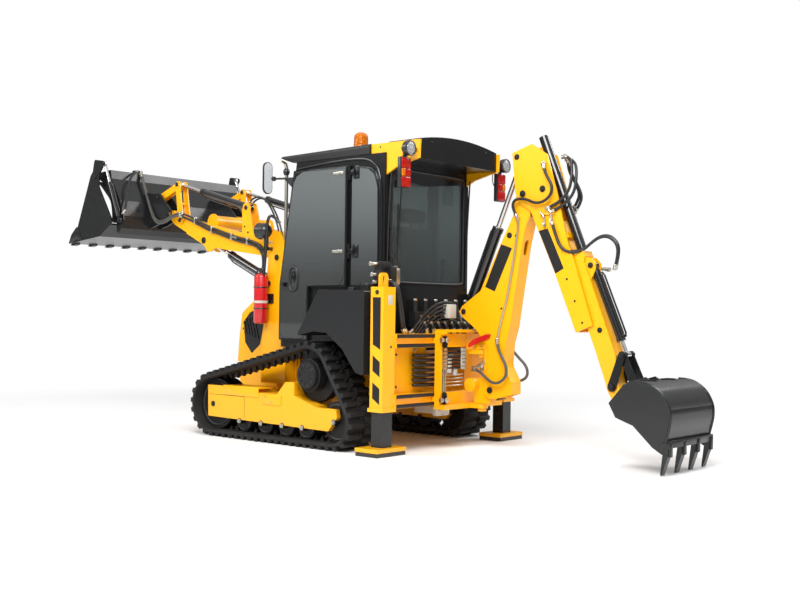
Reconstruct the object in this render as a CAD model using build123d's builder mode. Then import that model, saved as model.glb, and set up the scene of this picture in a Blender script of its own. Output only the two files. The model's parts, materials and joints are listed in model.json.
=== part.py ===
"""Compact tracked backhoe loader: every rigid piece as its own solid, in millimetres.

The machine is modelled in its working frame: +X towards the loader, +Y to the machine's left,
+Z up, with the ground at Z = 0 and the stabiliser legs at X = 0. The last lines move the
finished pieces along X, so that the origin of the files lies under the middle of the machine.
"""
from build123d import *
import os
from math import atan2, cos, degrees, hypot, pi, radians, sin

# ------------------------------------------------------------------ general driving sizes
PLATE = 12.0          # plates of arms, levers and ears
THIN = 6.0            # sheet covers and glass
RUN = 0.05            # radial running clearance of a pin or a rod
SIDE_GAP = 3.0        # gap between an eye and the plates on both sides of it
SEAT = 0.3            # gap at which a piece lies on its seat

# ------------------------------------------------------------------ tracks
TRACK_INNER_Y = 518.0
TRACK_WIDTH = 320.0
TRACK_OUTER_Y = TRACK_INNER_Y + TRACK_WIDTH
LUG_HEIGHT = 28.0
BELT_THICKNESS = 26.0
LUG_PITCH = 76.0
# wheels that the track runs over: x, z, outer radius at the tips of the lugs
FRONT_IDLER = (1730.0, 255.0, 255.0)
REAR_IDLER = (385.0, 205.0, 205.0)
SPROCKET = (645.0, 532.0, 250.0)
TRACK_DEPTH = LUG_HEIGHT + BELT_THICKNESS
ROLLER_X = (709.0, 925.0, 1160.0, 1408.0)
ROLLER_R = 85.0
AXLE_R = 22.0
WHEEL_GAP = 1.0       # between a wheel's rim and the belt

# ------------------------------------------------------------------ chassis, hood and engine
CHASSIS_HALF = 309.0
CHASSIS_PLATE = 20.0
CHASSIS_X = (130.0, 1980.0)
CHASSIS_Z = (300.0, 560.0)
HOOD_HALF = 298.0
HOOD_WALL = 14.0
HOOD_REAR_X = 1292.0
HOOD_BOTTOM_Z = 568.0
HOOD_HINGE = (1312.0, 1160.0)
ENGINE_SIZE = (560.0, 420.0, 480.0)
ENGINE_X = 1660.0

# ------------------------------------------------------------------ loader
ARM_Y = 377.0
ARM_HALF = 50.0
ARM_PIVOT = (1383.0, 1431.0)
BUCKET_PIN = (2825.0, 1852.0)
LINK_PIN = (2995.0, 2010.0)
LEVER_TOP = (2730.0, 2112.0)
LEVER_FOOT = (2680.0, 1792.0)
TILT_BASE = (1800.0, 1857.0)
LIFT_BASE = (1470.0, 1225.0)
LIFT_EYE = (2344.0, 1603.0)
CROSS_TUBE = (2350.0, 1768.0)
CROSS_TUBE_R = 58.0
PIN_R = 20.0
CLAM_PIVOT = (3440.0, 2195.0)
CLAM_EYE = (3338.0, 2307.0)
CLAM_BASE = (3105.0, 1790.0)
BUCKET_HALF = 800.0

# ------------------------------------------------------------------ cab
CAB_HALF = 500.0
CAB_WALL = 32.0
CAB_FLOOR_Z = 720.0
CAB_REAR_X = 190.0
CAB_FRONT_X = 1275.0
CAB_TOP_Z = 2170.0
CAB_TOP_FRONT_X = 1120.0
DOOR_HINGE_X = 530.0
ROOF_THICKNESS = 60.0

# ------------------------------------------------------------------ rear frame and stabilisers
TOWER_Y = 720.0       # middle of a stabiliser tower
TOWER_SIZE = (120.0, 126.0)
TOWER_Z = (304.0, 1179.0)
TOWER_WALL = 10.0
LEG_TOP_Z = 760.0
FOOT_SIZE = (210.0, 306.0)
FOOT_PLATE = 26.0
FOOT_PAD = 30.0
RAIL_TOP_Z = (752.0, 850.0)
RAIL_LOW_Z = (326.0, 424.0)
RAIL_X = (-84.0, -30.0)
RAIL_LIP = 30.0       # height of a rail's edge above and below its groove

# ------------------------------------------------------------------ backhoe
HOE_Y = -110.0
SWING_X = -262.0
CARRIAGE_HALF = 355.0
BOOM_FOOT = (-379.0, 442.0)
BOOM_RAM_BASE = (-335.0, 780.0)
BOOM_RAM_EYE = (-535.0, 1570.0)
DIPPER_RAM_BASE = (-129.0, 1015.0)
DIPPER_RAM_EYE = (-603.0, 2130.0)
ELBOW = (-660.0, 1862.0)
DIPPER_LEAN = 22.0    # of the dipper's sliding direction from the vertical, in degrees
DIPPER_HALF = 76.0
INNER_HALF = 56.0
HOE_RAM_EAR = (-1202.0, 1342.0)
HOE_PLATE = (48.0, 60.0)          # the boom's side plates, from the middle of the backhoe
TIP_PIN = (-1440.0, 420.0)
HOE_LINK_PIN = (-1553.0, 532.0)
HOE_LEVER_FOOT = (-1388.0, 520.0)
HOE_LEVER_TOP = (-1462.0, 737.0)
HOE_BUCKET_HALF = 310.0

FINISHED = []         # every finished piece, in the order it was made


# ------------------------------------------------------------------ helpers
def side_view(y, origin=(0.0, 0.0), turn=0.0):
    """Plane of a side view at y: local x is +X and local y is +Z, turned about origin."""
    a = radians(turn)
    return Plane(origin=(origin[0], y, origin[1]), x_dir=(cos(a), 0, sin(a)), z_dir=(0, -1, 0))


def slab(outline, y_from, y_to, corner=0.0, origin=(0.0, 0.0), turn=0.0, mode=Mode.ADD):
    """Extrude a side-view outline across the machine, from y_from to y_to."""
    with BuildSketch(side_view(y_from, origin, turn)) as side:
        with BuildLine():
            if corner:
                FilletPolyline(*outline, radius=corner, close=True)
            else:
                Polyline(*outline, close=True)
        make_face()
    extrude(side.sketch, amount=y_to - y_from, dir=(0, 1, 0), mode=mode)


def discs_hull(discs, y_from, y_to, mode=Mode.ADD, origin=(0.0, 0.0), turn=0.0):
    """Extrude the outline that wraps a row of discs, each (x, z, radius)."""
    with BuildSketch(side_view(y_from, origin, turn)) as side:
        for x, z, radius in discs:
            with Locations((x, z)):
                Circle(radius)
        make_hull()
    extrude(side.sketch, amount=y_to - y_from, dir=(0, 1, 0), mode=mode)


def cross_pin(at, y_from, y_to, radius, mode=Mode.ADD):
    """A round pin, boss or bore across the machine."""
    with BuildSketch(side_view(y_from)) as side:
        with Locations(at):
            Circle(radius)
    extrude(side.sketch, amount=y_to - y_from, dir=(0, 1, 0), mode=mode)


def block(x, y, z, mode=Mode.ADD):
    """A box given by its limits along each axis."""
    with Locations(((x[0] + x[1]) / 2, (y[0] + y[1]) / 2, (z[0] + z[1]) / 2)):
        Box(x[1] - x[0], y[1] - y[0], z[1] - z[0], mode=mode)


def rod_between(start, end, radius, mode=Mode.ADD):
    """A round bar from start to end."""
    way = Vector(*end) - Vector(*start)
    with BuildSketch(Plane(origin=start, z_dir=way)) as section:
        Circle(radius)
    extrude(section.sketch, amount=way.length, mode=mode)


def keep(piece, label):
    """Name a finished piece and put it on the list."""
    piece.label = label
    FINISHED.append(piece)
    return piece


def strip(outline, thickness):
    """An open side-view line made into a plate standing off towards +X by its thickness."""
    return list(outline) + [(x + thickness, z) for x, z in reversed(outline)]


def shrink(outline, by):
    """The same convex outline with its corners drawn in by about a distance."""
    cx = sum(x for x, _ in outline) / len(outline)
    cz = sum(z for _, z in outline) / len(outline)
    return [(x - by * (1 if x > cx else -1), z - by * (1 if z > cz else -1)) for x, z in outline]


def both_sides(y):
    """The same distance on the left and on the right of the machine."""
    return (y, -y)


def pair(y_near, y_far):
    """Limits across the machine of the same piece on the left and on the right."""
    return ((y_near, y_far), (-y_far, -y_near))


# ------------------------------------------------------------------ tracks
TRACK_WHEELS = (FRONT_IDLER, REAR_IDLER, SPROCKET)
LUG_LENGTH = 38.0


def belt_hull(inset):
    """Sketch of the loop around the three track wheels, inset from the tips of the lugs."""
    with BuildSketch() as loop:
        for x, z, radius in TRACK_WHEELS:
            with Locations((x, z)):
                Circle(radius - inset)
        make_hull()
    return loop.sketch


BELT_OUTER = belt_hull(LUG_HEIGHT)
BELT_INNER = belt_hull(TRACK_DEPTH)
BELT_EDGE = BELT_OUTER.face().outer_wire()
LUG_COUNT = int(BELT_EDGE.length / LUG_PITCH)


def lug_row(phase, line, size, count):
    """Sketch of the lugs of one row, standing on both sides of a line around the loop."""
    with BuildSketch() as row:
        for i in range(count):
            share = ((i + phase) / count) % 1.0
            at = line.position_at(share)
            way = line.tangent_at(share)
            with Locations(Location((at.X, at.Y, 0), degrees(atan2(way.Y, way.X)))):
                Rectangle(size[0], 2 * size[1])
    return row.sketch


def track(y_inner, y_outer):
    """One rubber track: the belt, two staggered rows of outer lugs and the inner guide lugs."""
    low, high = min(y_inner, y_outer), max(y_inner, y_outer)
    middle = (low + high) / 2
    bands = (
        # from, to, phase of the lugs in this band
        (low + 6, middle - 12, 0.0),
        (middle + 12, high - 6, 0.5),
    )
    with BuildPart() as belt:
        with BuildSketch(side_view(low)):
            add(BELT_OUTER)
            add(BELT_INNER, mode=Mode.SUBTRACT)
        extrude(amount=high - low, dir=(0, 1, 0))
        for y_from, y_to, phase in bands:
            with BuildSketch(side_view(y_from)):
                add(BELT_OUTER)
                add(lug_row(phase, BELT_EDGE, (LUG_LENGTH, LUG_HEIGHT), LUG_COUNT))
                add(BELT_INNER, mode=Mode.SUBTRACT)
            extrude(amount=y_to - y_from, dir=(0, 1, 0))
    return belt.part


for side, sign in (("left", 1), ("right", -1)):
    keep(track(sign * TRACK_INNER_Y, sign * TRACK_OUTER_Y), "track_" + side)

FRAME_OUTER_Y = 800.0
FRAME_INNER_Y = 556.0
FRAME_OUTLINE = (
    (1790.0, 155.0), (1797.0, 403.0), (1270.0, 403.0), (1240.0, 372.0), (985.0, 372.0),
    (895.0, 470.0), (800.0, 470.0), (800.0, 372.0), (560.0, 300.0), (365.0, 299.0),
    (352.0, 240.0), (440.0, 137.0),
)
CARRIER_X = (760.0, 1480.0)       # cross beams that carry the track frames

with BuildPart() as track_frames:
    for low, high in pair(FRAME_INNER_Y, FRAME_OUTER_Y):
        slab(FRAME_OUTLINE, low, high, corner=6.0)
        # slot for the rollers and the idlers between the two walls of the frame
        slab(((1830, 60), (1830, 240), (1550, 240), (1550, 225), (300, 225), (300, 60)),
             low + 40, high - 40, mode=Mode.SUBTRACT)
        slab(((1830, 60), (1830, 420), (1440, 420), (1440, 60)), low + 40, high - 40,
             mode=Mode.SUBTRACT)
        slab(((300, 60), (300, 330), (590, 330), (590, 60)), low + 40, high - 40,
             mode=Mode.SUBTRACT)
        x, z, r = SPROCKET
        cross_pin((x, z), low + 40, high - 40, r - TRACK_DEPTH + 6, mode=Mode.SUBTRACT)
        for x in CARRIER_X:
            near, far = (CHASSIS_HALF, FRAME_INNER_Y) if low > 0 else (-FRAME_INNER_Y, -CHASSIS_HALF)
            block((x - 60, x + 60), (near, far), (290, 360))
        for x in ROLLER_X:
            cross_pin((x, ROLLER_R + TRACK_DEPTH + WHEEL_GAP), low - 1, high + 1,
                      AXLE_R + RUN, mode=Mode.SUBTRACT)
        for x, z, _ in (FRONT_IDLER, REAR_IDLER):
            cross_pin((x, z), low - 1, high + 1, AXLE_R + RUN, mode=Mode.SUBTRACT)
keep(track_frames.part, "track_frames")

with BuildPart() as rollers:
    for low, high in pair(FRAME_INNER_Y, FRAME_OUTER_Y):
        wheels = [(x, ROLLER_R + TRACK_DEPTH + WHEEL_GAP, ROLLER_R) for x in ROLLER_X]
        for x, z, r in (FRONT_IDLER, REAR_IDLER):
            wheels.append((x, z, r - TRACK_DEPTH - WHEEL_GAP))
        for x, z, r in wheels:
            cross_pin((x, z), low + 46, high - 46, r)
            cross_pin((x, z), low - 4, high + 4, AXLE_R)
keep(rollers.part, "rollers_and_idlers")

with BuildPart() as sprockets:
    x, z, r = SPROCKET
    for low, high in pair(CHASSIS_HALF, TRACK_OUTER_Y):
        y_out = high if low > 0 else low
        sign = 1 if low > 0 else -1
        for start, end, radius in (
            # distance across the machine from, to, radius
            (CHASSIS_HALF, 560.0, 92.0),
            (640.0, 664.0, r - TRACK_DEPTH - WHEEL_GAP),
            (690.0, 714.0, r - TRACK_DEPTH - WHEEL_GAP),
            (560.0, 800.0, 118.0),
            (800.0, 822.0, 100.0),
        ):
            cross_pin((x, z), min(sign * start, sign * end), max(sign * start, sign * end), radius)
keep(sprockets.part, "drive_sprockets")

# ------------------------------------------------------------------ chassis and engine
with BuildPart() as chassis:
    block(CHASSIS_X, (-CHASSIS_HALF, CHASSIS_HALF), CHASSIS_Z)
    block((CHASSIS_X[0] + CHASSIS_PLATE, CHASSIS_X[1] - CHASSIS_PLATE),
          (-CHASSIS_HALF + CHASSIS_PLATE, CHASSIS_HALF - CHASSIS_PLATE),
          (CHASSIS_Z[0] + CHASSIS_PLATE, CHASSIS_Z[1] + 1), mode=Mode.SUBTRACT)
    block((CHASSIS_X[0], CHASSIS_X[0] + CHASSIS_PLATE), (-CHASSIS_HALF, CHASSIS_HALF),
          (CHASSIS_Z[0], CAB_FLOOR_Z))
    block((1255.0, 1275.0), (-CHASSIS_HALF, CHASSIS_HALF), (CHASSIS_Z[0], CAB_FLOOR_Z))
    edges = chassis.edges().filter_by(Axis.Y).group_by(Axis.Z)[0]
    fillet(edges, 14)
keep(chassis.part, "chassis_frame")

with BuildPart() as engine:
    floor_z = CHASSIS_Z[0] + CHASSIS_PLATE
    block((ENGINE_X - ENGINE_SIZE[0] / 2, ENGINE_X + ENGINE_SIZE[0] / 2),
          (-ENGINE_SIZE[1] / 2, ENGINE_SIZE[1] / 2), (floor_z, floor_z + ENGINE_SIZE[2]))
    chamfer(engine.edges().group_by(Axis.Z)[-1], 40)
keep(engine.part, "engine_block")

# ------------------------------------------------------------------ hood
HOOD_OUTLINE = (
    (HOOD_REAR_X, HOOD_BOTTOM_Z), (2045.0, HOOD_BOTTOM_Z), (2030.0, 760.0), (2000.0, 955.0),
    (1965.0, 990.0), (1763.0, 1131.0), (HOOD_REAR_X, 1150.0),
)
GRILLE_OUTLINE = ((1960.0, 905.0), (1880.0, 985.0), (1740.0, 1040.0), (1700.0, 900.0),
                  (1745.0, 720.0), (1850.0, 640.0), (1935.0, 730.0))
KNUCKLE_R = 16.0
HINGE_PIN_R = 8.0

with BuildPart() as hood:
    slab(HOOD_OUTLINE, -HOOD_HALF, HOOD_HALF)
    fillet(hood.edges().filter_by(Axis.Y).group_by(Axis.Z)[-1], 20)
    fillet(hood.faces().sort_by(Axis.X)[-1].edges().filter_by(Axis.Z, tolerance=8), 30)
    inside = ((HOOD_REAR_X - 1, HOOD_BOTTOM_Z - 1), (2031.0, HOOD_BOTTOM_Z - 1), (2016.0, 755.0),
              (1987.0, 947.0), (1957.0, 978.0), (1758.0, 1117.0), (HOOD_REAR_X - 1, 1136.0))
    slab(inside, -HOOD_HALF + HOOD_WALL, HOOD_HALF - HOOD_WALL, mode=Mode.SUBTRACT)
    for low, high in pair(HOOD_HALF - HOOD_WALL - 1, HOOD_HALF + 1):
        slab(GRILLE_OUTLINE, low, high, corner=14.0, mode=Mode.SUBTRACT)
    for low, high in pair(97.0, 150.0):
        cross_pin(HOOD_HINGE, low, high, KNUCKLE_R + SIDE_GAP, mode=Mode.SUBTRACT)
    for low, high in pair(150.0, 200.0):
        cross_pin(HOOD_HINGE, low, high, KNUCKLE_R)
        cross_pin(HOOD_HINGE, low, high, HINGE_PIN_R + RUN, mode=Mode.SUBTRACT)
keep(hood.part, "hood")

with BuildPart() as grilles:
    for low, high in pair(HOOD_HALF - HOOD_WALL, HOOD_HALF - 4):
        slab(shrink(GRILLE_OUTLINE, SEAT), low, high, corner=14.0)
        for i in range(5):
            with BuildSketch(side_view(low - 1)):
                with Locations(Location((1790 + 36 * i, 850 + 6 * i), 74)):
                    SlotOverall(190 - 12 * i, 14)
            extrude(amount=high - low + 2, dir=(0, 1, 0), mode=Mode.SUBTRACT)
keep(grilles.part, "hood_grilles")

# ------------------------------------------------------------------ loader towers
TOWER_PLATES = ((CHASSIS_HALF, 322.0), (432.0, 448.0))
TOWER_OUTLINE = (
    (1280.0, 420.0), (1560.0, 420.0), (1560.0, 600.0), (1515.0, 1180.0), (1490.0, 1480.0),
    (1475.0, 1540.0), (1430.0, 1560.0), (1372.0, 1650.0), (1312.0, 1560.0), (1300.0, 1180.0),
    (1280.0, 700.0),
)
with BuildPart() as towers:
    for sign in both_sides(1):
        for near, far in TOWER_PLATES:
            low, high = min(sign * near, sign * far), max(sign * near, sign * far)
            slab(TOWER_OUTLINE, low, high, corner=8.0)
        near, far = TOWER_PLATES[0][1], TOWER_PLATES[1][0]
        low, high = min(sign * near, sign * far), max(sign * near, sign * far)
        slab(((1285, 425), (1553, 425), (1500, 1090), (1330, 1090), (1300, 700)), low, high)
        low, high = min(sign * CHASSIS_HALF, sign * 456), max(sign * CHASSIS_HALF, sign * 456)
        cross_pin(ARM_PIVOT, low, high, PIN_R)
        cross_pin(LIFT_BASE, low, high, PIN_R * 0.8)
    # knuckles of the hood's hinge, carried by a cross bar between the towers
    block((1278, 1294), (-CHASSIS_HALF, CHASSIS_HALF), (1153, 1182))
    for low, high in pair(HOOD_HALF + 5, CHASSIS_HALF):
        block((1278, 1330), (low, high), (1153, 1182))
    for low, high in pair(100.0, 148.0):
        cross_pin(HOOD_HINGE, low, high, KNUCKLE_R)
        block((1290, HOOD_HINGE[0]), (low, high), (1153, 1176))
    for low, high in pair(100.0, 210.0):
        cross_pin(HOOD_HINGE, low, high, HINGE_PIN_R)
keep(towers.part, "loader_towers")

# ------------------------------------------------------------------ rams
def along(start, end, distance):
    """Point at a distance from start on the way to end, in the side view."""
    reach = hypot(end[0] - start[0], end[1] - start[1])
    share = distance / reach
    return (start[0] + share * (end[0] - start[0]), start[1] + share * (end[1] - start[1]))


def ram_barrel(base, eye, places, radius, rod_radius, length, eye_half, pin_radius):
    """Barrels of like rams: a tube with its gland, and an eye that turns on the base pin."""
    with BuildPart() as barrel:
        foot = along(base, eye, radius + 8)
        head = along(base, eye, length)
        gland = along(base, eye, length - 0.9 * radius)
        bore_start = along(base, eye, radius * 1.6)
        for y in places:
            rod_between((base[0], y, base[1]), (foot[0], y, foot[1]), min(eye_half, radius) * 0.9)
            rod_between((foot[0], y, foot[1]), (head[0], y, head[1]), radius)
            rod_between((gland[0], y, gland[1]), (head[0], y, head[1]), radius * 1.12)
            cross_pin(base, y - eye_half, y + eye_half, radius * 0.95)
            rod_between((bore_start[0], y, bore_start[1]), (head[0], y, head[1]),
                        rod_radius + RUN, mode=Mode.SUBTRACT)
            cross_pin(base, y - radius * 2, y + radius * 2, pin_radius + RUN, mode=Mode.SUBTRACT)
    return barrel.part


def ram_rod(base, eye, places, rod_radius, start, eye_half, eye_radius):
    """Rods of like rams, from a distance inside the barrel to the eye."""
    with BuildPart() as rod:
        inner = along(base, eye, start)
        neck = along(eye, base, eye_radius + 6)
        for y in places:
            rod_between((inner[0], y, inner[1]), (neck[0], y, neck[1]), rod_radius)
            rod_between((neck[0], y, neck[1]), (eye[0], y, eye[1]), min(rod_radius, eye_half) * 0.9)
            cross_pin(eye, y - eye_half, y + eye_half, eye_radius)
    return rod.part


# name, base pin, rod's eye, places across the machine, barrel radius, rod radius, barrel
# length, start of the rod inside the barrel, half width of the eyes, radius of the base pin
CLAM_RAM_Y = 765.0
HOE_EAR = 30.0                    # half the gap between the ears that hold a backhoe ram
RAMS = {
    "lift": (LIFT_BASE, LIFT_EYE, both_sides(ARM_Y), 33, 19, 620, 470, 24, 16),
    "tilt": (TILT_BASE, LEVER_TOP, both_sides(ARM_Y), 30, 14, 655, 330, 11, 16),
    "clam": (CLAM_BASE, CLAM_EYE, both_sides(CLAM_RAM_Y), 22, 13, 372, 250, 11, 11),
    "boom": (BOOM_RAM_BASE, BOOM_RAM_EYE, (HOE_Y,), 38, 22, 652, 61, 26, 18),
    "dipper": (DIPPER_RAM_BASE, DIPPER_RAM_EYE, (HOE_Y,), 38, 20, 674, 595, 26, 18),
    "bucket": (HOE_RAM_EAR, HOE_LEVER_TOP, (HOE_Y,), 28, 16, 560, 190, 26, 16),
}


def make_ram(name, row):
    """Both nodes of a row of like rams."""
    base, eye, places, radius, rod_radius, length, start, eye_half, pin_radius = row
    keep(ram_barrel(base, eye, places, radius, rod_radius, length, eye_half, pin_radius),
         name + "_ram_barrel")
    keep(ram_rod(base, eye, places, rod_radius, start, eye_half, radius * 0.85),
         name + "_ram_rod")


# ------------------------------------------------------------------ loader arms
ARM_OUTLINE = (
    (1360.0, 1378.0), (1581.0, 1452.0), (2190.0, 1532.0), (2250.0, 1500.0), (2300.0, 1510.0),
    (2340.0, 1560.0), (2784.0, 1762.0), (2865.0, 1835.0), (2850.0, 1892.0), (2790.0, 1882.0),
    (2642.0, 1812.0), (2055.0, 1686.0), (1584.0, 1578.0), (1345.0, 1488.0),
)
NOSE_HALF = 30.0
NOSE_X = 2585.0
ARM_CHANNEL = ((1560.0, 1300.0), (1600.0, 1560.0), (2055.0, 1668.0), (2400.0, 1742.0),
               (2430.0, 1640.0), (2430.0, 1300.0))
TILT_BRACKET = ((1690.0, 1590.0), (1850.0, 1620.0), (1842.0, 1880.0), (1810.0, 1900.0),
                (1775.0, 1895.0), (1740.0, 1760.0))
LEVER_NEAR = NOSE_HALF + SIDE_GAP
LEVER_FAR = LEVER_NEAR + PLATE
EAR_NEAR = LEVER_FAR + 4.0
EAR_FAR = EAR_NEAR + 14.0

with BuildPart() as arms:
    for sign in both_sides(1):
        y = sign * ARM_Y
        slab(ARM_OUTLINE, y - ARM_HALF, y + ARM_HALF, corner=14.0)
        slab(ARM_CHANNEL, y - ARM_HALF + PLATE, y + ARM_HALF - PLATE, mode=Mode.SUBTRACT)
        for low, high in ((y - ARM_HALF - 1, y - NOSE_HALF), (y + NOSE_HALF, y + ARM_HALF + 1)):
            slab(((NOSE_X, 1600), (NOSE_X, 1900), (2900, 1950), (2900, 1700)), low, high,
                 mode=Mode.SUBTRACT)
        for low, high in ((y - 48, y - 34), (y + 34, y + 48)):
            slab(TILT_BRACKET, low, high, corner=8.0)
        for low, high in ((y - 34, y - 14), (y + 14, y + 34)):
            cross_pin(TILT_BASE, low, high, 24)
        for low, high in ((y - ARM_HALF, y - 27), (y + 27, y + ARM_HALF)):
            cross_pin(LIFT_EYE, low, high, 34)
        cross_pin(ARM_PIVOT, y - 80, y + 80, PIN_R + RUN, mode=Mode.SUBTRACT)
        cross_pin(TILT_BASE, y - 52, y + 52, 16)
        cross_pin(LEVER_FOOT, y - LEVER_FAR - 5, y + LEVER_FAR + 5, PIN_R * 0.8)
        cross_pin(BUCKET_PIN, y - EAR_FAR - 6, y + EAR_FAR + 6, PIN_R)
    cross_pin(CROSS_TUBE, -ARM_Y + ARM_HALF, ARM_Y - ARM_HALF, CROSS_TUBE_R)
    for sign in both_sides(1):
        low, high = sorted((sign * (ARM_Y - ARM_HALF), sign * (ARM_Y - ARM_HALF - PLATE)))
        cross_pin(CROSS_TUBE, low, high, CROSS_TUBE_R + 14)
keep(arms.part, "loader_arms")

make_ram("lift", RAMS["lift"])

with BuildPart() as levers:
    for y in both_sides(ARM_Y):
        for low, high in ((y - LEVER_FAR, y - LEVER_NEAR), (y + LEVER_NEAR, y + LEVER_FAR)):
            discs_hull(((*LEVER_FOOT, 34), (*LEVER_TOP, 30)), low, high)
            cross_pin(LEVER_FOOT, low - 1, high + 1, PIN_R * 0.8 + RUN, mode=Mode.SUBTRACT)
        cross_pin(LEVER_TOP, y - LEVER_FAR - 5, y - 13, 16)
        cross_pin(LEVER_TOP, y + 13, y + LEVER_FAR + 5, 16)
        middle = along(LEVER_FOOT, LEVER_TOP, 150)
        cross_pin(middle, y - LEVER_FAR, y + LEVER_FAR, 12)
keep(levers.part, "tilt_levers")

with BuildPart() as links:
    for y in both_sides(ARM_Y):
        for low, high in ((y - 27, y - 15), (y + 15, y + 27)):
            discs_hull(((*LEVER_TOP, 27), (*LINK_PIN, 32)), low, high)
            cross_pin(LEVER_TOP, low - 1, high + 1, 16 + RUN, mode=Mode.SUBTRACT)
        cross_pin(LINK_PIN, y - 27, y + 27, 32)
keep(links.part, "tilt_links")

make_ram("tilt", RAMS["tilt"])

# ------------------------------------------------------------------ loader bucket
BLADE_HALF = 735.0
CLAM_PLATE = 16.0
CLAM_PIVOT_R = 16.0
BLADE_SKIN = (
    (3290.0, 2250.0), (3362.0, 2250.0), (3366.0, 2190.0), (3310.0, 2178.0), (3160.0, 1960.0),
    (3112.0, 1830.0), (3130.0, 1740.0), (3182.0, 1690.0), (3166.0, 1672.0), (3110.0, 1720.0),
    (3092.0, 1830.0), (3142.0, 1970.0), (3276.0, 2172.0),
)
BLADE_END = (
    (3290.0, 2250.0), (3470.0, 2238.0), (3480.0, 2180.0), (3420.0, 2150.0), (3215.0, 1960.0),
    (3190.0, 1780.0), (3182.0, 1690.0), (3110.0, 1720.0), (3080.0, 1790.0), (3142.0, 1970.0),
    (3276.0, 2172.0),
)
BLADE_EAR = ((2795.0, 1825.0), (2795.0, 1880.0), (2960.0, 2045.0), (3030.0, 2045.0),
             (3200.0, 2070.0), (3150.0, 1960.0), (3105.0, 1830.0), (3120.0, 1730.0),
             (2990.0, 1760.0), (2850.0, 1812.0))

with BuildPart() as blade:
    slab(BLADE_SKIN, -BLADE_HALF, BLADE_HALF)
    for low, high in pair(BLADE_HALF - 14, BLADE_HALF):
        slab(BLADE_END, low, high)
        y_in, y_out = (high, CLAM_RAM_Y + 14) if low > 0 else (-CLAM_RAM_Y - 14, low)
        cross_pin(CLAM_BASE, y_in, y_out, 11)
        y_in, y_out = (high, BUCKET_HALF + 4) if low > 0 else (-BUCKET_HALF - 4, low)
        cross_pin(CLAM_PIVOT, y_in, y_out, CLAM_PIVOT_R)
    for y in both_sides(ARM_Y):
        for low, high in ((y - EAR_FAR, y - EAR_NEAR), (y + EAR_NEAR, y + EAR_FAR)):
            slab(BLADE_EAR, low, high, corner=16.0)
            cross_pin(LINK_PIN, low, high, 16)
            cross_pin(BUCKET_PIN, low - 1, high + 1, PIN_R + RUN, mode=Mode.SUBTRACT)
keep(blade.part, "bucket_blade")

CLAM_SIDE = (
    (3385.0, 2240.0), (3470.0, 2248.0), (3512.0, 2205.0), (3712.0, 1740.0), (3800.0, 1636.0),
    (3770.0, 1616.0), (3355.0, 1650.0), (3192.0, 1748.0), (3182.0, 1800.0), (3385.0, 2100.0),
)
CLAM_FLOOR = ((3192.0, 1748.0), (3202.0, 1764.0), (3362.0, 1668.0), (3780.0, 1634.0),
              (3842.0, 1612.0), (3842.0, 1600.0), (3355.0, 1650.0))
TOOTH = ((3780.0, 1612.0), (3842.0, 1608.0), (3885.0, 1590.0), (3840.0, 1582.0), (3790.0, 1592.0))
TOOTH_COUNT = 9

with BuildPart() as clam:
    slab(CLAM_FLOOR, -BUCKET_HALF, BUCKET_HALF)
    for low, high in pair(BUCKET_HALF - CLAM_PLATE, BUCKET_HALF):
        slab(CLAM_SIDE, low, high, corner=8.0)
        discs_hull(((3440, 2210, 44), (3435, 2322, 24), (*CLAM_EYE, 24)), low, high)
        cross_pin(CLAM_PIVOT, low - 1, high + 1, CLAM_PIVOT_R + RUN, mode=Mode.SUBTRACT)
        y_in, y_out = (low - 5, low) if low > 0 else (high, high + 5)
        cross_pin(CLAM_EYE, y_in, y_out, 11)
    pitch = (2 * BUCKET_HALF - 120) / (TOOTH_COUNT - 1)
    for i in range(TOOTH_COUNT):
        y = -BUCKET_HALF + 60 + i * pitch
        slab(TOOTH, y - 22, y + 22)
keep(clam.part, "bucket_clam")

make_ram("clam", RAMS["clam"])

# ------------------------------------------------------------------ cab
DOOR_STEP_X = 950.0               # the door's low part lies in front of this
DOOR_TOP_Z = 2100.0
DOOR_BACK_X = DOOR_HINGE_X + 16.0
DOOR_THICKNESS = 26.0
SILL_Z = 1190.0
CAB_OUTLINE = (
    (CAB_REAR_X, CAB_FLOOR_Z), (CAB_FRONT_X, CAB_FLOOR_Z), (CAB_FRONT_X, 1210.0),
    (CAB_TOP_FRONT_X, CAB_TOP_Z), (CAB_REAR_X, CAB_TOP_Z),
)
CAB_INSIDE = (
    (CAB_REAR_X + CAB_WALL, CAB_FLOOR_Z + CAB_WALL),
    (CAB_FRONT_X - CAB_WALL, CAB_FLOOR_Z + CAB_WALL), (CAB_FRONT_X - CAB_WALL, 1207.0),
    (CAB_TOP_FRONT_X - CAB_WALL, CAB_TOP_Z + 1), (CAB_REAR_X + CAB_WALL, CAB_TOP_Z + 1),
)
SCREEN_CUT = ((1075.0, 2105.0), (1165.0, 2105.0), (1320.0, 1210.0), (1320.0, 860.0),
              (1225.0, 860.0), (1225.0, 1200.0))
DOOR_OUTLINE = (
    (DOOR_BACK_X, SILL_Z), (DOOR_STEP_X, SILL_Z), (DOOR_STEP_X, 775.0), (1272.0, 775.0),
    (1272.0, 1212.0), (1126.0, DOOR_TOP_Z), (DOOR_BACK_X, DOOR_TOP_Z),
)
DOOR_HOLE = (
    (DOOR_BACK_X + 30, SILL_Z + 30), (DOOR_STEP_X + 30, SILL_Z + 30), (DOOR_STEP_X + 30, 805.0),
    (1240.0, 805.0), (1240.0, 1207.0), (1100.0, DOOR_TOP_Z - 32), (DOOR_BACK_X + 30, DOOR_TOP_Z - 32),
)
DOOR_PANE = (
    (DOOR_BACK_X + 40, SILL_Z + 50), (1205.0, SILL_Z + 50), (1087.0, DOOR_TOP_Z - 46),
    (DOOR_BACK_X + 40, DOOR_TOP_Z - 46),
)
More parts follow.
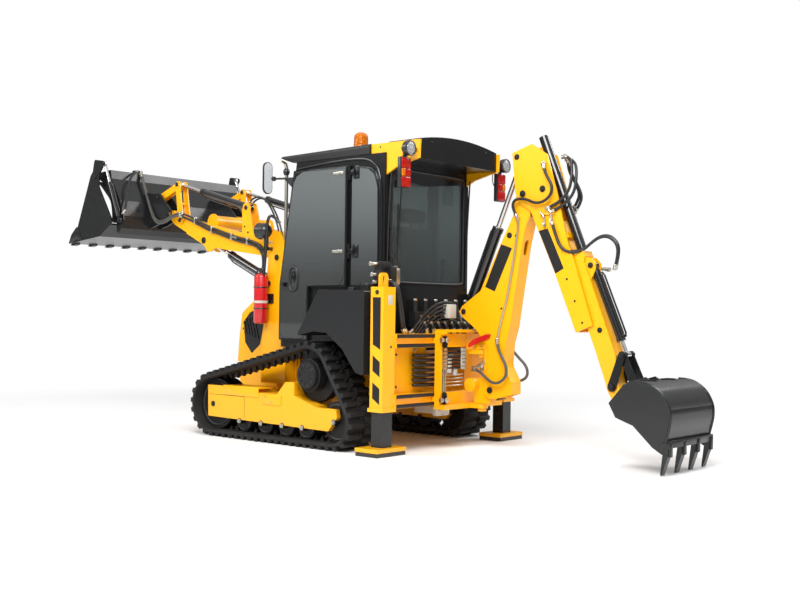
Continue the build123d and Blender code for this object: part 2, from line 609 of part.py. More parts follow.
LOW_PANE = ((DOOR_STEP_X + 45, 835.0), (1225.0, 835.0), (1225.0, SILL_Z - 5),
            (DOOR_STEP_X + 45, SILL_Z - 5))
QUARTER_PANE = ((CAB_REAR_X + 50, SILL_Z + 50), (CAB_REAR_X + 300, SILL_Z + 50),
                (CAB_REAR_X + 300, DOOR_TOP_Z - 46), (CAB_REAR_X + 50, DOOR_TOP_Z - 46))
REAR_PANE = ((-425.0, SILL_Z + 40), (425.0, SILL_Z + 40), (425.0, 2060.0), (-425.0, 2060.0))
DOOR_HINGE_Z = (1455.0, 2045.0)
DOOR_HINGE_Y = CAB_HALF + 15.0
GLASS_FIT = 0.3
DOOR_KNUCKLE_R = 12.0
DOOR_PIN_R = 6.0


with BuildPart() as cab:
    slab(CAB_OUTLINE, -CAB_HALF, CAB_HALF)
    slab(CAB_INSIDE, -CAB_HALF + CAB_WALL, CAB_HALF - CAB_WALL, mode=Mode.SUBTRACT)
    slab(SCREEN_CUT, -CAB_HALF + 55, CAB_HALF - 55, mode=Mode.SUBTRACT)
    slab(DOOR_HOLE, CAB_HALF - CAB_WALL - 1, CAB_HALF + 1, corner=20.0, mode=Mode.SUBTRACT)
    slab(DOOR_PANE, -CAB_HALF - 1, -CAB_HALF + CAB_WALL + 1, corner=25.0, mode=Mode.SUBTRACT)
    for low, high in pair(CAB_HALF - CAB_WALL - 1, CAB_HALF + 1):
        slab(QUARTER_PANE, low, high, corner=25.0, mode=Mode.SUBTRACT)
    with BuildSketch(Plane.YZ.offset(CAB_REAR_X - 1)) as rear_hole:
        with BuildLine():
            FilletPolyline(*REAR_PANE, radius=25.0, close=True)
        make_face()
    extrude(rear_hole.sketch, amount=CAB_WALL + 2, mode=Mode.SUBTRACT)
    for z in DOOR_HINGE_Z:
        block((DOOR_HINGE_X - 50, DOOR_HINGE_X), (CAB_HALF, DOOR_HINGE_Y), (z - 18, z + 18))
        rod_between((DOOR_HINGE_X, DOOR_HINGE_Y, z - 18), (DOOR_HINGE_X, DOOR_HINGE_Y, z + 18),
                    DOOR_KNUCKLE_R)
        rod_between((DOOR_HINGE_X, DOOR_HINGE_Y, z - 56), (DOOR_HINGE_X, DOOR_HINGE_Y, z + 56),
                    DOOR_PIN_R)
keep(cab.part, "cab_frame")

with BuildPart() as door:
    slab(DOOR_OUTLINE, CAB_HALF + SEAT, CAB_HALF + DOOR_THICKNESS, corner=12.0)
    for outline in (DOOR_PANE, LOW_PANE):
        slab(outline, CAB_HALF - 1, CAB_HALF + DOOR_THICKNESS + 1, corner=25.0,
             mode=Mode.SUBTRACT)
    for z in DOOR_HINGE_Z:
        block((DOOR_HINGE_X - 15, DOOR_HINGE_X + 14), (CAB_HALF, CAB_HALF + 30), (z - 20, z + 20),
              mode=Mode.SUBTRACT)
        for low, high in ((z + 19, z + 54), (z - 54, z - 19)):
            block((DOOR_HINGE_X, DOOR_BACK_X + 30), (DOOR_HINGE_Y - 8, DOOR_HINGE_Y + 8), (low, high))
            rod_between((DOOR_HINGE_X, DOOR_HINGE_Y, low), (DOOR_HINGE_X, DOOR_HINGE_Y, high),
                        DOOR_KNUCKLE_R)
            rod_between((DOOR_HINGE_X, DOOR_HINGE_Y, low - 1),
                        (DOOR_HINGE_X, DOOR_HINGE_Y, high + 1), DOOR_PIN_R + RUN,
                        mode=Mode.SUBTRACT)
    block((1180, 1200), (CAB_HALF + DOOR_THICKNESS, CAB_HALF + DOOR_THICKNESS + 40),
          (1195, 1225))
keep(door.part, "cab_door")

with BuildPart() as door_glass:
    for outline in (DOOR_PANE, LOW_PANE):
        slab(shrink(outline, GLASS_FIT), CAB_HALF + 8, CAB_HALF + 14, corner=25.0)
keep(door_glass.part, "door_glass")

with BuildPart() as cab_glass:
    slab(((1104.0, 2104.7), (1110.0, 2104.7), (1263.0, 1209.5), (1263.0, 860.3),
          (1257.0, 860.3), (1257.0, 1209.5)), -CAB_HALF + 55 + GLASS_FIT, CAB_HALF - 55 - GLASS_FIT)
    slab(shrink(DOOR_PANE, GLASS_FIT), -CAB_HALF + 10, -CAB_HALF + 16, corner=25.0)
    for low, high in pair(CAB_HALF - 16, CAB_HALF - 10):
        slab(shrink(QUARTER_PANE, GLASS_FIT), low, high, corner=25.0)
    with BuildSketch(Plane.YZ.offset(CAB_REAR_X + 10)) as rear_pane:
        with BuildLine():
            FilletPolyline(*shrink(REAR_PANE, GLASS_FIT), radius=25.0, close=True)
        make_face()
    extrude(rear_pane.sketch, amount=THIN)
keep(cab_glass.part, "cab_glass")

ROOF_HALF = CAB_HALF + 6.0
VISOR_X = (-105.0, 186.0)
VISOR_HALF = 466.0
VISOR_Z = (2108.0, 2250.0, 2296.0)      # underside, top at the ends, top in the middle
CANOPY_PLATE = 16.0
CANOPY_OUTLINE = (
    (340.0, CAB_TOP_Z + 72), (-128.0, CAB_TOP_Z + 70), (-122.0, 2106.0), (-20.0, 2082.0),
    (110.0, 2050.0), (186.0, 2010.0), (186.0, CAB_TOP_Z), (340.0, CAB_TOP_Z),
)

with BuildPart() as roof:
    slab(((344.0, CAB_TOP_Z), (1165.0, CAB_TOP_Z), (1296.0, CAB_TOP_Z + 42),
          (1290.0, CAB_TOP_Z + ROOF_THICKNESS), (344.0, CAB_TOP_Z + 76)), -ROOF_HALF, ROOF_HALF)
    fillet(roof.edges().filter_by(Axis.X, tolerance=3).group_by(Axis.Z)[-1], 22)
keep(roof.part, "cab_roof")

with BuildPart() as canopy:
    for low, high in pair(CAB_HALF - CANOPY_PLATE - 14, CAB_HALF - 14):
        slab(CANOPY_OUTLINE, low, high)
    block((186, 340), (-CAB_HALF + 14 + CANOPY_PLATE, CAB_HALF - 14 - CANOPY_PLATE),
          (CAB_TOP_Z, CAB_TOP_Z + 60))
keep(canopy.part, "roof_canopy")

with BuildPart() as visor:
    with BuildSketch(Plane.YZ.offset(VISOR_X[0])) as visor_section:
        with BuildLine():
            Polyline((VISOR_HALF, VISOR_Z[1]), (VISOR_HALF, VISOR_Z[0]), (-VISOR_HALF, VISOR_Z[0]),
                     (-VISOR_HALF, VISOR_Z[1]))
            ThreePointArc((-VISOR_HALF, VISOR_Z[1]), (0, VISOR_Z[2]), (VISOR_HALF, VISOR_Z[1]))
        make_face()
    extrude(visor_section.sketch, amount=VISOR_X[1] - VISOR_X[0])
keep(visor.part, "rear_visor")

# ------------------------------------------------------------------ inside the cab
SEAT_X = 560.0
FLOOR_TOP = CAB_FLOOR_Z + CAB_WALL
with BuildPart() as seat:
    block((SEAT_X - 170, SEAT_X + 170), (-170, 170), (FLOOR_TOP, FLOOR_TOP + 260))
    block((SEAT_X - 230, SEAT_X + 240), (-235, 235), (FLOOR_TOP + 260, FLOOR_TOP + 390))
    slab(((SEAT_X - 230, FLOOR_TOP + 330), (SEAT_X - 110, FLOOR_TOP + 380),
          (SEAT_X - 170, FLOOR_TOP + 950), (SEAT_X - 260, FLOOR_TOP + 950)), -225, 225, corner=30.0)
    fillet(seat.edges().filter_by(Axis.Z).group_by(Axis.X)[-1], 40)
keep(seat.part, "operator_seat")

with BuildPart() as consoles:
    for low, high in pair(250.0, 420.0):
        slab(((300, FLOOR_TOP), (760, FLOOR_TOP), (800, FLOOR_TOP + 430), (280, FLOOR_TOP + 400)),
             low, high, corner=20.0)
        rod_between((330, (low + high) / 2, FLOOR_TOP + 380), (310, (low + high) / 2, FLOOR_TOP + 640), 14)
        rod_between((700, (low + high) / 2, FLOOR_TOP + 380), (720, (low + high) / 2, FLOOR_TOP + 600), 14)
keep(consoles.part, "control_consoles")

# ------------------------------------------------------------------ side tanks
TANK_Y = (CAB_HALF + SEAT, 812.0)
TANK_OUTLINE = (
    (92.0, 1154.0), (548.0, 1160.0), (778.0, 812.0), (690.0, 838.0), (590.0, 856.0),
    (461.0, 847.0), (300.0, 735.0), (170.0, 575.0), (92.0, 552.0),
)
FILLER = (170.0, 700.0)
with BuildPart() as tanks:
    for low, high in pair(*TANK_Y):
        slab(TANK_OUTLINE, low, high, corner=14.0)
        y = FILLER[1] if low > 0 else -FILLER[1]
        rod_between((FILLER[0], y, 1140), (FILLER[0], y, 1196), 46)
keep(tanks.part, "side_tanks")

# ------------------------------------------------------------------ rear frame and stabilisers
TOWER_X = -6.0
RAIL_END_Y = TOWER_Y - TOWER_SIZE[1] / 2
with BuildPart() as rear_frame:
    for sign in both_sides(1):
        y = sign * TOWER_Y
        block((TOWER_X - TOWER_SIZE[0] / 2, TOWER_X + TOWER_SIZE[0] / 2),
              (y - TOWER_SIZE[1] / 2, y + TOWER_SIZE[1] / 2), TOWER_Z)
        block((TOWER_X - TOWER_SIZE[0] / 2 - 10, TOWER_X + TOWER_SIZE[0] / 2 + 10),
              (y - TOWER_SIZE[1] / 2 - 10, y + TOWER_SIZE[1] / 2 + 10),
              (TOWER_Z[0], TOWER_Z[0] + 26))
    for z in (RAIL_TOP_Z, RAIL_LOW_Z):
        block((RAIL_X[0], RAIL_X[1] + 24), (-RAIL_END_Y, RAIL_END_Y), z)
        block((RAIL_X[0] - 1, RAIL_X[0] + 16), (-RAIL_END_Y, RAIL_END_Y),
              (z[0] + RAIL_LIP, z[1] - RAIL_LIP), mode=Mode.SUBTRACT)
    for low, high in pair(230.0, RAIL_END_Y):
        block((6, 24), (low, high), (RAIL_LOW_Z[0], RAIL_TOP_Z[1]))
    block((0, CHASSIS_X[0]), (-290, -230), (RAIL_LOW_Z[0], 700))
    block((0, CHASSIS_X[0]), (230, 290), (RAIL_LOW_Z[0], 700))
    for sign in both_sides(1):
        y = sign * TOWER_Y
        block((TOWER_X - TOWER_SIZE[0] / 2 + TOWER_WALL, TOWER_X + TOWER_SIZE[0] / 2 - TOWER_WALL),
              (y - TOWER_SIZE[1] / 2 + TOWER_WALL, y + TOWER_SIZE[1] / 2 - TOWER_WALL),
              (TOWER_Z[0] - 1, TOWER_Z[1] - TOWER_WALL), mode=Mode.SUBTRACT)
        # lifting eye on the tower
        with BuildSketch(Plane.YZ.offset(TOWER_X - 8)) as eye:
            with Locations((y, TOWER_Z[1] + 40)):
                RectangleRounded(86, 120, 30)
            with Locations((y, TOWER_Z[1] + 50)):
                SlotOverall(60, 26, rotation=90, mode=Mode.SUBTRACT)
        extrude(eye.sketch, amount=16)
keep(rear_frame.part, "rear_frame")

with BuildPart() as bracket:
    with BuildSketch(Plane.YZ.offset(-22)) as plate_sketch:
        with Locations((60, 280)):
            RectangleRounded(170, 86, 24)
        with GridLocations(84, 1, 2, 1):
            with Locations((60, 285)):
                Circle(11, mode=Mode.SUBTRACT)
    extrude(plate_sketch.sketch, amount=28)
    block((6, CHASSIS_X[0] + 100), (36, 84), (248, CHASSIS_Z[0] - SEAT))
keep(bracket.part, "tow_bracket")

LEG_CLEAR = 0.3
for side, sign in (("left", 1), ("right", -1)):
    y = sign * TOWER_Y
    with BuildPart() as leg:
        half_x = TOWER_SIZE[0] / 2 - TOWER_WALL - LEG_CLEAR
        half_y = TOWER_SIZE[1] / 2 - TOWER_WALL - LEG_CLEAR
        block((TOWER_X - half_x, TOWER_X + half_x), (y - half_y, y + half_y),
              (FOOT_PAD + FOOT_PLATE, LEG_TOP_Z))
        block((-FOOT_SIZE[0] / 2, FOOT_SIZE[0] / 2), (y - FOOT_SIZE[1] / 2, y + FOOT_SIZE[1] / 2),
              (FOOT_PAD, FOOT_PAD + FOOT_PLATE))
        block((-FOOT_SIZE[0] / 2 + 4, FOOT_SIZE[0] / 2 - 4),
              (y - FOOT_SIZE[1] / 2 + 4, y + FOOT_SIZE[1] / 2 - 4), (0, FOOT_PAD))
    keep(leg.part, "stabiliser_" + side)

# ------------------------------------------------------------------ carriage of the backhoe
CARRIAGE_X = (-190.0, -92.0)
CARRIAGE_Z = (300.0, 882.0)
CHEEK_PLATE = 18.0
NECK_Z = ((300.0, 335.0), (700.0, 735.0))      # lower and upper knuckle of the kingpost
SWING_PIN_R = 20.0
KNUCKLE_HOE_R = 44.0
CHEEK_OUTLINE = (
    (CARRIAGE_X[1], CARRIAGE_Z[0]), (CARRIAGE_X[1], CARRIAGE_Z[1]), (CARRIAGE_X[0], CARRIAGE_Z[1]),
    (CARRIAGE_X[0], CARRIAGE_Z[1] - 34), (CARRIAGE_X[0] + 42, CARRIAGE_Z[1] - 38),
    (CARRIAGE_X[0] + 42, CARRIAGE_Z[0] + 38), (CARRIAGE_X[0], CARRIAGE_Z[0] + 34),
    (CARRIAGE_X[0], CARRIAGE_Z[0]),
)
CARRIAGE_Y = (HOE_Y - CARRIAGE_HALF, HOE_Y + CARRIAGE_HALF)

with BuildPart() as carriage:
    for low, high in ((CARRIAGE_Y[0], CARRIAGE_Y[0] + CHEEK_PLATE),
                      (CARRIAGE_Y[1] - CHEEK_PLATE, CARRIAGE_Y[1])):
        slab(CHEEK_OUTLINE, low, high, corner=6.0)
    block(CARRIAGE_X, CARRIAGE_Y, (CARRIAGE_Z[1] - 20, CARRIAGE_Z[1]))
    block(CARRIAGE_X, CARRIAGE_Y, NECK_Z[0])
    for z in (RAIL_TOP_Z, RAIL_LOW_Z):
        block((CARRIAGE_X[1] - 44, CARRIAGE_X[1]), CARRIAGE_Y, z)
        block((CARRIAGE_X[1], RAIL_X[0] + 14), CARRIAGE_Y,
              (z[0] + RAIL_LIP + SEAT, z[1] - RAIL_LIP - SEAT))
    block((CARRIAGE_X[0] + 45, CARRIAGE_X[1]), (HOE_Y - 40, HOE_Y + 40),
          (NECK_Z[1][0], CARRIAGE_Z[1]))
    block((CARRIAGE_X[0], CARRIAGE_X[1]), (HOE_Y - 40, HOE_Y + 40), NECK_Z[1])
    for low, high in NECK_Z:
        block((SWING_X, CARRIAGE_X[0]), (HOE_Y - KNUCKLE_HOE_R, HOE_Y + KNUCKLE_HOE_R), (low, high))
        rod_between((SWING_X, HOE_Y, low), (SWING_X, HOE_Y, high), KNUCKLE_HOE_R)
        rod_between((SWING_X, HOE_Y, low - 1), (SWING_X, HOE_Y, high + 1), SWING_PIN_R + RUN,
                    mode=Mode.SUBTRACT)
    fillet(carriage.edges().filter_by(Axis.Y).group_by(Axis.X)[-1], 3)
keep(carriage.part, "carriage")

with BuildPart() as clamps:
    for low, high in ((CARRIAGE_Y[0], CARRIAGE_Y[0] + 30), (CARRIAGE_Y[1] - 30, CARRIAGE_Y[1])):
        inner = (low + CHEEK_PLATE + SEAT, high) if low == CARRIAGE_Y[0] else (low, high - CHEEK_PLATE - SEAT)
        for z, step in ((RAIL_TOP_Z[1] - 45, 1), (RAIL_LOW_Z[0] + 45, -1)):
            discs_hull(((CARRIAGE_X[0] + 24, z + 10 * step, 22), (CARRIAGE_X[0] + 24, z - 36 * step, 22)),
                       *inner)
            outer = (low - 8, high) if low == CARRIAGE_Y[0] else (low, high + 8)
            cross_pin((CARRIAGE_X[0] + 24, z), outer[0], outer[1], 9)
keep(clamps.part, "rail_clamps")

KINGPOST_HALF = 44.0
with BuildPart() as kingpost:
    low, high = HOE_Y - KINGPOST_HALF, HOE_Y + KINGPOST_HALF
    slab(((-362, 338), (-222, 338), (-222, 520), (-306, 530), (-310, 697), (-312, 738),
          (-222, 738), (-222, 815), (-283, 815), (-362, 728)), low, high)
    discs_hull(((-330, 440, 44), (*BOOM_FOOT, 42)), low, high)
    discs_hull(((*BOOM_RAM_BASE, 38), (-315, 765, 30)), low, high)
    discs_hull(((*BOOM_RAM_BASE, 42), (-335, 880, 42), (-435, 880, 42), (-435, 760, 42)),
               HOE_Y - HOE_EAR, HOE_Y + HOE_EAR, mode=Mode.SUBTRACT)
    cross_pin(BOOM_RAM_BASE, low, high, 18)
    cross_pin(BOOM_FOOT, low - 1, high + 1, PIN_R + RUN, mode=Mode.SUBTRACT)
    cross_pin((-222, 475), high, high + 60, 50)
    for z_low, z_high in NECK_Z:
        rod_between((SWING_X, HOE_Y, z_low - 14), (SWING_X, HOE_Y, z_high + 14), SWING_PIN_R)
    rod_between((SWING_X, HOE_Y, NECK_Z[0][0] - 22), (SWING_X, HOE_Y, NECK_Z[0][0] - 4), 32)
    rod_between((SWING_X, HOE_Y, NECK_Z[1][0] - 22), (SWING_X, HOE_Y, NECK_Z[1][0] - 4), 32)
keep(kingpost.part, "kingpost")

with BuildPart() as lock_lever:
    slab(((-180, 748), (-262, 780), (-372, 822), (-384, 852), (-345, 850), (-232, 812), (-184, 776)),
         HOE_Y + HOE_PLATE[1] + 5, HOE_Y + HOE_PLATE[1] + 15, corner=5.0)
    block((-258, -234), (HOE_Y + KINGPOST_HALF + SEAT, HOE_Y + HOE_PLATE[1] + 5), (782, 806))
keep(lock_lever.part, "lock_lever")

# ------------------------------------------------------------------ boom
BOOM_REAR = (
    (-565.0, 420.0), (-565.0, 510.0), (-505.0, 612.0), (-498.0, 640.0), (-513.0, 792.0),
    (-548.0, 909.0), (-578.0, 1102.0), (-645.0, 1507.0), (-679.0, 1643.0), (-708.0, 1700.0),
)
BOOM_FRONT = (
    (-735.0, 1830.0), (-712.0, 1905.0), (-660.0, 1930.0), (-608.0, 1905.0), (-578.0, 1820.0),
    (-562.0, 1708.0), (-278.0, 1168.0), (-110.0, 1056.0), (-85.0, 1010.0), (-118.0, 972.0),
    (-240.0, 885.0), (-360.0, 750.0), (-360.0, 660.0), (-318.0, 470.0), (-330.0, 400.0),
    (-364.0, 379.0), (-430.0, 382.0),
)
with BuildPart() as boom:
    near, far = HOE_PLATE
    for low, high in ((HOE_Y - far, HOE_Y - near), (HOE_Y + near, HOE_Y + far)):
        slab(BOOM_REAR + BOOM_FRONT, low, high)
    slab(strip(BOOM_REAR, PLATE), HOE_Y - near, HOE_Y + near)
    with BuildSketch(Plane.YZ.offset(-700)) as oval:
        with Locations((HOE_Y, 1480)):
            SlotOverall(110, 50, rotation=90)
    extrude(oval.sketch, amount=150, mode=Mode.SUBTRACT)
    for low, high in ((HOE_Y - near, HOE_Y - HOE_EAR), (HOE_Y + HOE_EAR, HOE_Y + near)):
        for at in (BOOM_RAM_EYE, DIPPER_RAM_BASE):
            cross_pin(at, low, high, 30)
    cross_pin(DIPPER_RAM_BASE, HOE_Y - far - 6, HOE_Y + far + 6, 18)
    cross_pin(BOOM_FOOT, HOE_Y - far - 6, HOE_Y + far + 6, PIN_R)
    cross_pin(ELBOW, HOE_Y - far, HOE_Y + far, 48)
    cross_pin(ELBOW, HOE_Y - far - 1, HOE_Y + far + 1, PIN_R + RUN, mode=Mode.SUBTRACT)
keep(boom.part, "boom")
make_ram("boom", RAMS["boom"])

# ------------------------------------------------------------------ dipper
DIPPER_TURN = -90.0 - DIPPER_LEAN          # local x runs down the dipper, local y to its front


def on_dipper(outline):
    """Outline given along the dipper and back from it, in the plane turned with the dipper."""
    return [(u, -v) for u, v in outline]


DIPPER_SIDE = (
    (-315.0, 20.0), (-300.0, 195.0), (-173.0, 285.0), (114.0, 260.0), (480.0, 213.0),
    (572.0, 217.0), (1080.0, 188.0), (1080.0, 49.0), (638.0, 41.0), (140.0, 13.5), (40.0, -56.0),
    (-40.0, -58.0), (-235.0, -2.0),
)
DIPPER_FRONT = ((250.0, 20.0), (638.0, 41.0), (1080.0, 49.0), (1080.0, 61.0), (638.0, 53.0),
                (250.0, 32.0))
DIPPER_PLATE = (64.0, DIPPER_HALF)
EXTENSION_RAM = (-330.0, 545.0, 262.0, 34.0)     # from, to, distance back, radius
EXTENSION_ROD_R = 16.0
EXTENSION_TRAVEL = 350.0
with BuildPart() as dipper:
    near, far = DIPPER_PLATE
    for low, high in ((HOE_Y - far, HOE_Y - near), (HOE_Y + near, HOE_Y + far)):
        slab(on_dipper(DIPPER_SIDE), low, high, origin=ELBOW, turn=DIPPER_TURN)
    slab(on_dipper(DIPPER_FRONT), HOE_Y - near, HOE_Y + near, origin=ELBOW, turn=DIPPER_TURN)
    cross_pin(ELBOW, HOE_Y - far - 6, HOE_Y + far + 6, PIN_R)
    for low, high in ((HOE_Y - near, HOE_Y - HOE_EAR), (HOE_Y + HOE_EAR, HOE_Y + near)):
        cross_pin(DIPPER_RAM_EYE, low, high, 30)
    # saddles under the extension ram, and wear pads that guide the inner dipper
    start, end, back, radius = EXTENSION_RAM
    for u in (-180.0, 400.0):
        slab(on_dipper(((u, 210), (u, back - radius - SEAT), (u + 40, back - radius - SEAT),
                        (u + 40, 210))), HOE_Y - near, HOE_Y + near, origin=ELBOW,
             turn=DIPPER_TURN)
    for u in (610.0, 1020.0):
        pad = on_dipper(((u, 142), (u, 182), (u + 55, 182), (u + 55, 142)))
        for low, high in ((HOE_Y - near, HOE_Y - INNER_HALF - SEAT),
                          (HOE_Y + INNER_HALF + SEAT, HOE_Y + near)):
            slab(pad, low, high, origin=ELBOW, turn=DIPPER_TURN)
keep(dipper.part, "dipper")



def at_dipper(u, v):
    """World point at a distance along the dipper and back from it, in its middle plane."""
    a = radians(DIPPER_TURN)
    return (ELBOW[0] + u * cos(a) + v * sin(a), HOE_Y, ELBOW[1] + u * sin(a) - v * cos(a))


with BuildPart() as extension:
    start, end, back, radius = EXTENSION_RAM
    rod_between(at_dipper(start, back), at_dipper(end, back), radius)
    rod_between(at_dipper(start + 60, back), at_dipper(end, back), EXTENSION_ROD_R + RUN,
                mode=Mode.SUBTRACT)
keep(extension.part, "extension_ram")

with BuildPart() as extension_rod:
    rod_between(at_dipper(end - EXTENSION_TRAVEL - 60, back), at_dipper(572 - SEAT, back),
                EXTENSION_ROD_R)
keep(extension_rod.part, "extension_rod")
make_ram("dipper", RAMS["dipper"])

INNER_BOX = (
    (300.0, 75.0), (300.0, 205.0), (572.0, 205.0), (572.0, 296.0), (612.0, 296.0),
    (640.0, 275.0), (1330.0, 272.0),
    (1440.0, 225.0), (1560.0, 210.0), (1560.0, 130.0), (1250.0, 137.0), (620.0, 135.0),
    (590.0, 75.0),
)
RAM_EAR = ((590.0, 250.0), (640.0, 330.0), (685.0, 346.0), (725.0, 330.0), (790.0, 260.0))
LEVER_Y = (59.0, 69.0)
LINK_Y = (44.0, 56.0)
with BuildPart() as inner:
    slab(on_dipper(INNER_BOX), HOE_Y - INNER_HALF, HOE_Y + INNER_HALF, origin=ELBOW,
         turn=DIPPER_TURN)
    discs_hull(((*TIP_PIN, 42), (*HOE_LEVER_FOOT, 46)), HOE_Y - INNER_HALF, HOE_Y + INNER_HALF)
    for low, high in ((HOE_Y - 42, HOE_Y - HOE_EAR), (HOE_Y + HOE_EAR, HOE_Y + 42)):
        slab(on_dipper(RAM_EAR), low, high, origin=ELBOW, turn=DIPPER_TURN)
    cross_pin(HOE_RAM_EAR, HOE_Y - 46, HOE_Y + 46, 16)
    cross_pin(HOE_LEVER_FOOT, HOE_Y - LEVER_Y[1] - 6, HOE_Y + LEVER_Y[1] + 6, 16)
    cross_pin(TIP_PIN, HOE_Y - 80, HOE_Y + 80, PIN_R)
keep(inner.part, "inner_dipper")
make_ram("bucket", RAMS["bucket"])

with BuildPart() as hoe_lever:
    for low, high in ((HOE_Y - LEVER_Y[1], HOE_Y - LEVER_Y[0]), (HOE_Y + LEVER_Y[0], HOE_Y + LEVER_Y[1])):
        discs_hull(((*HOE_LEVER_FOOT, 32), (*HOE_LEVER_TOP, 26)), low, high)
        cross_pin(HOE_LEVER_FOOT, low - 1, high + 1, 16 + RUN, mode=Mode.SUBTRACT)
    cross_pin(HOE_LEVER_TOP, HOE_Y - LEVER_Y[1] - 4, HOE_Y - HOE_EAR, 14)
    cross_pin(HOE_LEVER_TOP, HOE_Y + HOE_EAR, HOE_Y + LEVER_Y[1] + 4, 14)
keep(hoe_lever.part, "bucket_lever")

with BuildPart() as hoe_link:
    for low, high in ((HOE_Y - LINK_Y[1], HOE_Y - LINK_Y[0]), (HOE_Y + LINK_Y[0], HOE_Y + LINK_Y[1])):
        discs_hull(((*HOE_LEVER_TOP, 24), (*HOE_LINK_PIN, 30)), low, high)
        cross_pin(HOE_LEVER_TOP, low - 1, high + 1, 14 + RUN, mode=Mode.SUBTRACT)
    cross_pin(HOE_LINK_PIN, HOE_Y - LINK_Y[1], HOE_Y + LINK_Y[1], 30)
keep(hoe_link.part, "bucket_link")

# ------------------------------------------------------------------ backhoe bucket
HOE_WRAP = (
    (-1908.0, 190.0), (-1926.0, 274.0), (-1941.0, 349.0), (-1936.0, 429.0), (-1879.0, 522.0),
    (-1775.0, 577.0), (-1660.0, 572.0), (-1585.0, 452.0), (-1548.0, 418.0),
)
HOE_WRAP_INSIDE = (
    (-1556.0, 409.0), (-1594.0, 444.0), (-1668.0, 560.0), (-1772.0, 564.0), (-1871.0, 512.0),
    (-1924.0, 425.0), (-1929.0, 350.0), (-1914.0, 277.0), (-1896.0, 193.0),
)
HOE_SIDE = ((-1506.0, 434.0), (-1556.0, 344.0), (-1683.0, 300.0), (-1820.0, 174.0),
            (-1887.0, 135.0))
HOE_TOOTH = ((-1902.0, 215.0), (-1932.0, 215.0), (-1926.0, 120.0), (-1886.0, 5.0),
             (-1876.0, 5.0), (-1890.0, 125.0))
HOE_TOOTH_COUNT = 4
HOE_EAR_Y = (59.0, 73.0)
with BuildPart() as hoe_bucket:
    slab(HOE_WRAP + HOE_WRAP_INSIDE, HOE_Y - HOE_BUCKET_HALF, HOE_Y + HOE_BUCKET_HALF)
    for low, high in ((HOE_Y - HOE_BUCKET_HALF, HOE_Y - HOE_BUCKET_HALF + PLATE),
                      (HOE_Y + HOE_BUCKET_HALF - PLATE, HOE_Y + HOE_BUCKET_HALF)):
        slab(HOE_WRAP[:-2] + ((-1614.0, 560.0),) + HOE_SIDE, low, high)
    for low, high in ((HOE_Y - HOE_EAR_Y[1], HOE_Y - HOE_EAR_Y[0]),
                      (HOE_Y + HOE_EAR_Y[0], HOE_Y + HOE_EAR_Y[1])):
        slab(((-1412, 450), (-1452, 378), (-1520, 425), (-1622, 550), (-1690, 570), (-1640, 600),
              (-1560, 576), (-1510, 560)), low, high)
        cross_pin(TIP_PIN, low, high, 42)
        cross_pin(HOE_LINK_PIN, low, high, 40)
        cross_pin(TIP_PIN, low - 1, high + 1, PIN_R + RUN, mode=Mode.SUBTRACT)
    pitch = (2 * HOE_BUCKET_HALF - 40) / (HOE_TOOTH_COUNT - 1)
    for i in range(HOE_TOOTH_COUNT):
        y = HOE_Y - HOE_BUCKET_HALF + 20 + i * pitch
        low, high = max(y - 24, HOE_Y - HOE_BUCKET_HALF), min(y + 24, HOE_Y + HOE_BUCKET_HALF)
        slab(HOE_TOOTH, low, high)
keep(hoe_bucket.part, "hoe_bucket")

# ------------------------------------------------------------------ lamps, mirrors and fittings
BEACON = (630.0, 290.0)
BEACON_Z = (2242.4, 2357.0)
with BuildPart() as lamps:
    for sign in both_sides(1):
        low, high = sorted((sign * (CAB_HALF - 14 + SEAT), sign * 620))
        block((-128, -62), sorted((sign * 536, sign * 622)), (2122, 2206))
        block((-100, -80), sorted((sign * (CAB_HALF - 14 + SEAT), sign * 536)), (2150, 2178))
        block((-78, -40), sorted((sign * 540, sign * 614)), (1898, 2098))
        block((-70, -50), sorted((sign * 566, sign * 588)), (2098, 2122))
        block((-80, -56), sorted((sign * 566, sign * 588)), (2110, 2140))
        # head lamps beside the loader towers, on cranked brackets
        rod_between((1410, sign * 508, 1645), (1530, sign * 508, 1645), 66)
        block((1440, 1470), sorted((sign * (448 + SEAT), sign * 522)), (1488, 1514))
        block((1440, 1470), sorted((sign * 494, sign * 522)), (1488, 1600))
    rod_between((BEACON[0], BEACON[1], BEACON_Z[0]), (BEACON[0], BEACON[1], BEACON_Z[1]), 46)
    # mirror on its arm
    rod_between((1143.7, 470, 2050), (1345, 560, 2050), 9)
    block((1338, 1352), (560, 720), (1960, 2140))
keep(lamps.part, "lamps_and_mirrors")

with BuildPart() as extinguisher:
    rod_between((1500, 515, 900), (1500, 515, 1290), 58)
    rod_between((1500, 515, 1290), (1500, 515, 1350), 24)
    block((1488, 1512), (448 + SEAT, 470), (1000, 1040))
keep(extinguisher.part, "fire_extinguisher")

VALVE_COUNT = 6
with BuildPart() as valves:
    block((24 + SEAT, 88), (-330, 330), (900, 1010))
    block((24 + SEAT, 60), (-330, 330), (760, 900))
    for i in range(VALVE_COUNT):
        y = -300 + 120 * i
        rod_between((56, y, 1010), (56, y, 1090), 20)
        rod_between((56, y, 820), (56, y, 760), 16)
keep(valves.part, "valve_bank")


# ------------------------------------------------------------------ writing the files
BOXES = [piece.bounding_box() for piece in FINISHED]
SHIFT_X = -(min(box.min.X for box in BOXES) + max(box.max.X for box in BOXES)) / 2
os.makedirs("parts", exist_ok=True)
for piece in FINISHED:
    moved = piece.moved(Location((SHIFT_X, 0, 0)))
    moved.label = piece.label
    export_step(moved, "parts/" + piece.label + ".step")
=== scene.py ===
"""Looks of a compact tracked backhoe loader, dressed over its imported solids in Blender 4.5.

The file is laid out as an add-on and run as a script. Places are given in millimetres from the
ground under the middle of the stabiliser legs: X towards the loader, Y to the left, Z up.
"""
import json
from math import acos, atan2, cos, hypot, pi, radians, sin

